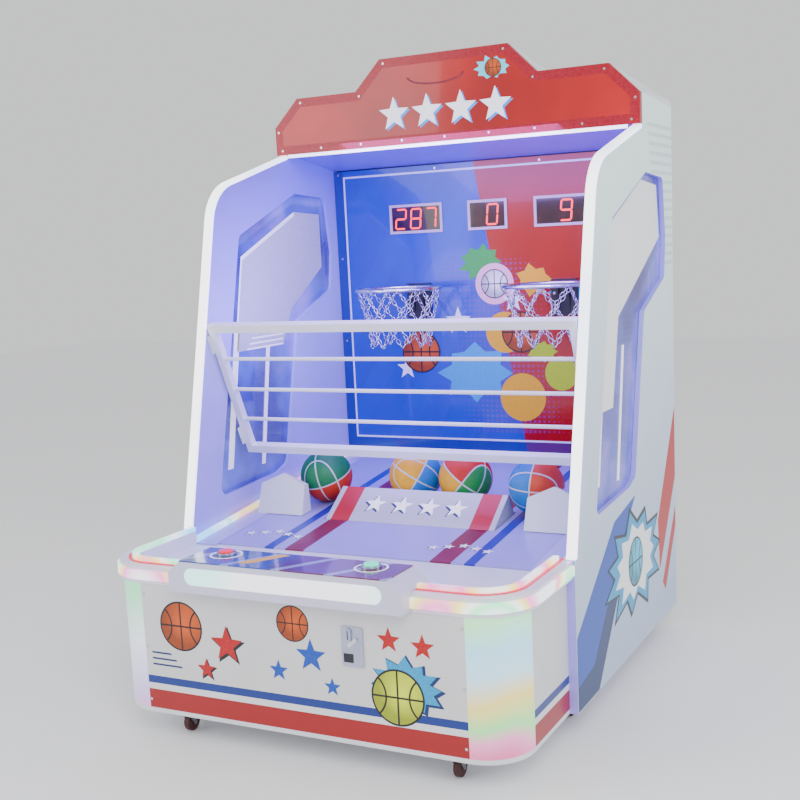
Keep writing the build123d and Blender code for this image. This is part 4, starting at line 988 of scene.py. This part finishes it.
# ---- gate and deck ------------------------------------------------------------------------
DECK_FRONT_Y, DECK_FRONT_Z = -0.344, 0.548
DECK_SLOPE = 0.105
GATE_LIFT = math.radians(28.0)  # above the deck
GATE_DROP = 0.03  # hinge line below the deck
GATE_TILT = GATE_LIFT + math.atan(DECK_SLOPE)
GATE_HINGE_Y = -0.012
GATE_HINGE_Z = DECK_FRONT_Z + DECK_SLOPE * (GATE_HINGE_Y - DECK_FRONT_Y) - GATE_DROP
GATE_FACE = 0.0295  # plate surface, out from the hinge axis
STAR_R, STAR_UP = 0.045, 0.095


def on_gate(u, v, w):
    """Point on the gate: across, up its plate from the hinge, and out from the axis."""
    y = GATE_HINGE_Y + v * math.cos(GATE_TILT) - w * math.sin(GATE_TILT)
    return (u, y, GATE_HINGE_Z + v * math.sin(GATE_TILT) + w * math.cos(GATE_TILT))


def on_deck(u, v, w):
    """Point on the deck: across, to the rear, and up from it."""
    return (u, v, DECK_FRONT_Z + DECK_SLOPE * (v - DECK_FRONT_Y) + w)


gate_stars = [star(x, STAR_UP, STAR_R) for x in (-0.165, -0.055, 0.055, 0.165)]
shadows = [moved(shape, -0.007, -0.006) for shape in gate_stars]
artwork("gate_star_shadow", shadows, on_gate, GATE_FACE, inks["navy"], "ball_gate")
artwork("gate_stars", gate_stars, on_gate, GATE_FACE + INK_T, inks["lit_white"], "ball_gate")
ROW_STEPS = (-0.1, -0.05, 0.0, 0.05, 0.1)
deck_stars = [star(x + dx, -0.19 - 0.35 * abs(dx), 0.022) for x in (-0.44, 0.3) for dx in ROW_STEPS]
artwork(
    "deck_star_shadow",
    [moved(shape, -0.004, -0.004) for shape in deck_stars],
    on_deck,
    0.0,
    inks["navy"],
)
artwork("deck_stars", deck_stars, on_deck, INK_T, inks["white"])

# console rings and bar
console_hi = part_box("console_plate")[1]
FLAT = (lambda u, v, w: (u, v, w))


def ring_outline(u, v, outer, inner, first, last, count=28):
    """Part of a flat ring between two angles."""
    turns = [first + (last - first) * i / count for i in range(count + 1)]
    out = [(u + outer * math.cos(a), v + outer * math.sin(a)) for a in turns]
    return out + [(u + inner * math.cos(a), v + inner * math.sin(a)) for a in reversed(turns)]


BUTTON_X, BUTTON_Y = 0.26, -0.767
RING_OUT, RING_IN, RING_GAP = 0.052, 0.046, 0.03  # the gap is in radians
rings = []
for x in (-BUTTON_X, BUTTON_X):
    for first in (0.0, math.pi):
        turns = (first + RING_GAP, first + math.pi - RING_GAP)
        rings.append(ring_outline(x, BUTTON_Y, RING_OUT, RING_IN, *turns))
artwork("console_rings", rings, FLAT, console_hi.z, inks["lit_white"])
bar_art = [(-0.17, -0.84), (-0.13, -0.84), (-0.05, -0.72), (-0.09, -0.72)]
artwork("console_bar", [bar_art], FLAT, console_hi.z, inks["yellow"])

# ---- rim line -----------------------------------------------------------------------------


def rounded_path(half, front, rear, radius, count=14):
    """Open path down one side, round the front corners and up the other side."""
    path = [(-half, rear)]
    for i in range(count + 1):
        angle = math.pi + math.pi / 2 * i / count
        path.append((-half + radius + radius * math.cos(angle), front + radius + radius * math.sin(angle)))
    for i in range(count + 1):
        angle = 1.5 * math.pi + math.pi / 2 * i / count
        path.append((half - radius + radius * math.cos(angle), front + radius + radius * math.sin(angle)))
    path.append((half, rear))
    return path


rim_lo, rim_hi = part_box("rim_shelf")
RIM_HALF, RIM_FRONT, RIM_REAR, RIM_R = rim_hi.x, rim_lo.y, rim_hi.y, 0.165
CONSOLE_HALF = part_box("console_housing")[1].x + 1 * MM


def rim_ribbon(name, outer, inner, z, height, material):
    """Flat ribbon on the rim between two insets, broken where the console stands."""
    bm = bmesh.new()
    a = rounded_path(RIM_HALF - outer, RIM_FRONT + outer, RIM_REAR, RIM_R - outer)
    b = rounded_path(RIM_HALF - inner, RIM_FRONT + inner, RIM_REAR, RIM_R - inner)
    half = len(a) // 2
    sides = ((a[:half] + [(-CONSOLE_HALF, a[half - 1][1])], b[:half] + [(-CONSOLE_HALF, b[half - 1][1])]),
             ([(CONSOLE_HALF, a[half][1])] + a[half:], [(CONSOLE_HALF, b[half][1])] + b[half:]))
    for outside, inside in sides:
        rows = []
        for (ax, ay), (bx, by) in zip(outside, inside):
            rows.append(
                [
                    bm.verts.new(p) for p in (
                        (ax, ay, z), (bx, by, z), (bx, by, z + height), (ax, ay, z + height),
                    )
                ]
            )
        for first, second in zip(rows, rows[1:]):
            for i in range(4):
                j = (i + 1) % 4
                bm.faces.new((first[i], first[j], second[j], second[i]))
        bm.faces.new(rows[0][::-1])
        bm.faces.new(rows[-1])
    return link_mesh(name, bm, material, "cabinet")


rim_ribbon(
    "rim_red_line", 0.03, 0.04, rim_hi.z, 0.003, ink("rim_red", (0.75, 0.0, 0.05), 0.5),
)

# ---- balls --------------------------------------------------------------------------------
BALLS = {
    "ball_1": ((0.3, -0.25, 0.2), ((0.62, 0.035, 0.003), (0.0, 0.2, 0.06))),
    "ball_2": ((0.0, -1.0, 0.5), ((0.0, 0.2, 0.6), (0.85, 0.42, 0.0))),
    "ball_3": ((0.5, 0.5, 1.1), ((0.8, 0.4, 0.0), (0.62, 0.01, 0.004), (0.01, 0.3, 0.04))),
    "ball_4": ((0.0, -1.5, 0.1), ((0.7, 0.05, 0.01), (0.0, 0.18, 0.55))),
}
for name, (turn, panels) in BALLS.items():
    lo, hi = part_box(name)
    centre = (lo + hi) / 2
    bm = bmesh.new()
    bmesh.ops.create_uvsphere(bm, u_segments=72, v_segments=40, radius=(hi.z - lo.z) / 2 - 0.1 * MM)
    bmesh.ops.translate(bm, verts=bm.verts, vec=centre)
    piece = link_mesh(
        name + "_skin", bm, basketball(name + "_rubber", centre, turn, panels), name, True
    )
    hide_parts(name)

# ---- chain nets ---------------------------------------------------------------------------
LINK_LONG = 0.0125
LINK_WIDE = 0.0066
WIRE = 0.0018


def add_link(bm, centre, along, across):
    """One oval chain link."""
    along = along.normalized()
    across = (across - along * across.dot(along)).normalized()
    normal = along.cross(across)
    steps, ring = 12, 5
    rows = []
    for i in range(steps):
        angle = math.tau * i / steps
        middle = centre + along * (LINK_LONG * math.cos(angle)) + across * (LINK_WIDE * math.sin(angle))
        outward = (along * math.cos(angle) + across * math.sin(angle)).normalized()
        row = []
        for j in range(ring):
            turn = math.tau * j / ring
            row.append(
                bm.verts.new(middle + outward * (WIRE * math.cos(turn)) + normal * (WIRE * math.sin(turn)))
            )
        rows.append(row)
    for i in range(steps):
        for j in range(ring):
            a, b = rows[i], rows[(i + 1) % steps]
            k = (j + 1) % ring
            bm.faces.new((a[j], a[k], b[k], b[j]))


def chain(bm, start, end):
    """Links from one point to another, each turned a quarter from the last."""
    span = end - start
    count = max(2, round(span.length / (1.62 * LINK_LONG)))
    side = span.cross(Vector((0, 0, 1)))
    if side.length < 1e-6:
        side = Vector((1, 0, 0))
    flat = side.normalized()
    upright = span.normalized().cross(flat)
    for i in range(count):
        add_link(bm, start + span * ((i + 0.5) / count), span, flat if i % 2 else upright)


NET_ROWS = [(0.0, 0.167), (0.078, 0.148), (0.152, 0.13), (0.226, 0.12)]
COLUMNS = 9
for label in ("left", "right"):
    lo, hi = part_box("chain_net_" + label)
    cx, cy, top = (lo.x + hi.x) / 2, (lo.y + hi.y) / 2, hi.z + 1 * MM
    bm = bmesh.new()
    levels = []
    for row, (drop, radius) in enumerate(NET_ROWS):
        ring = []
        for column in range(COLUMNS):
            angle = math.tau * (column + 0.5 * (row % 2)) / COLUMNS
            ring.append(Vector((cx + radius * math.cos(angle), cy + radius * math.sin(angle), top - drop)))
        levels.append(ring)
    for row in range(len(levels) - 1):
        shift = 1 if row % 2 else 0
        for column in range(COLUMNS):
            above = levels[row][column]
            chain(bm, above, levels[row + 1][(column + shift) % COLUMNS])
            chain(bm, above, levels[row + 1][(column + shift - 1) % COLUMNS])
    net = link_mesh("net_links_" + label, bm, chrome, "cabinet", True)
    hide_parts("chain_net_" + label)

# ---- lights, floor, camera ----------------------------------------------------------------
for node in ("hoop_rings", "door_lock", "button_housings", "start_button_left", "start_button_right"):
    nodes[node].data.polygons.foreach_set("use_smooth", [False] * len(nodes[node].data.polygons))


def lamp(name, kind, spot, target, energy, size, colour=(1.0, 1.0, 1.0)):
    data = bpy.data.lights.new(name, kind)
    data.energy = energy
    data.color = colour
    if kind == "AREA":
        data.size = size
    else:
        data.shadow_soft_size = size
    light = bpy.data.objects.new(name, data)
    light.location = spot
    light.rotation_euler = (Vector(target) - Vector(spot)).to_track_quat("-Z", "Y").to_euler()
    bpy.context.scene.collection.objects.link(light)


lamp("key", "AREA", (2.6, -3.6, 3.6), (0, 0, 1.0), 125, 2.5)
lamp("fill", "AREA", (-3.4, -3.4, 2.2), (0, 0, 1.0), 70, 3.0)
lamp("side", "AREA", (4.2, 0.6, 2.2), (0.7, 0.2, 1.0), 50, 2.5, (0.9, 0.97, 1.0))
lamp("inner_violet", "AREA", (0.0, 0.2, 1.9), (0, 0.6, 0.7), 22, 0.9, (0.35, 0.22, 1.0))
lamp("inner_left", "POINT", (-0.45, 0.1, 1.35), (0, 0, 0), 7, 0.2, (0.35, 0.25, 1.0))
lamp("inner_right", "POINT", (0.45, 0.3, 1.55), (0, 0, 0), 7, 0.2, (0.4, 0.22, 1.0))
lamp("deck_wash", "POINT", (0.0, -0.1, 0.95), (0, 0, 0), 3, 0.3, (0.45, 0.4, 1.0))

world = bpy.data.worlds.new("studio")
world.use_nodes = True
world.node_tree.nodes["Background"].inputs["Color"].default_value = (0.97, 0.98, 1.0, 1.0)
world.node_tree.nodes["Background"].inputs["Strength"].default_value = 0.95
bpy.context.scene.world = world

bm = bmesh.new()
bmesh.ops.create_grid(bm, x_segments=2, y_segments=2, size=14.0)
floor_mesh = bpy.data.meshes.new("floor")
bm.to_mesh(floor_mesh)
bm.free()
floor_mesh.materials.append(plain("floor_pale", (0.96, 0.96, 0.97), 0.6, 0.02, 60.0, 0.0001))
floor = bpy.data.objects.new("floor", floor_mesh)
bpy.context.scene.collection.objects.link(floor)

CAMERA_SPOT = Vector((1.923, -3.733, 1.576))
YAW, PITCH, ROLL = 0.4736, -0.1629, -0.0482
ahead = Vector((-math.sin(YAW) * math.cos(PITCH), math.cos(YAW) * math.cos(PITCH), math.sin(PITCH)))
level = Vector((math.cos(YAW), math.sin(YAW), 0.0))
upward = level.cross(ahead)
right = level * math.cos(ROLL) + upward * math.sin(ROLL)
top = upward * math.cos(ROLL) - level * math.sin(ROLL)
lens = bpy.data.cameras.new("camera")
lens.sensor_width = 36.0
lens.lens = 53.4
lens.shift_x = -0.0104
lens.shift_y = 0.0498
camera = bpy.data.objects.new("camera", lens)
camera.matrix_world = Matrix(
    (
        (right.x, top.x, -ahead.x, CAMERA_SPOT.x),
        (right.y, top.y, -ahead.y, CAMERA_SPOT.y),
        (right.z, top.z, -ahead.z, CAMERA_SPOT.z),
        (0.0, 0.0, 0.0, 1.0),
    )
)
bpy.context.scene.collection.objects.link(camera)
bpy.context.scene.camera = camera
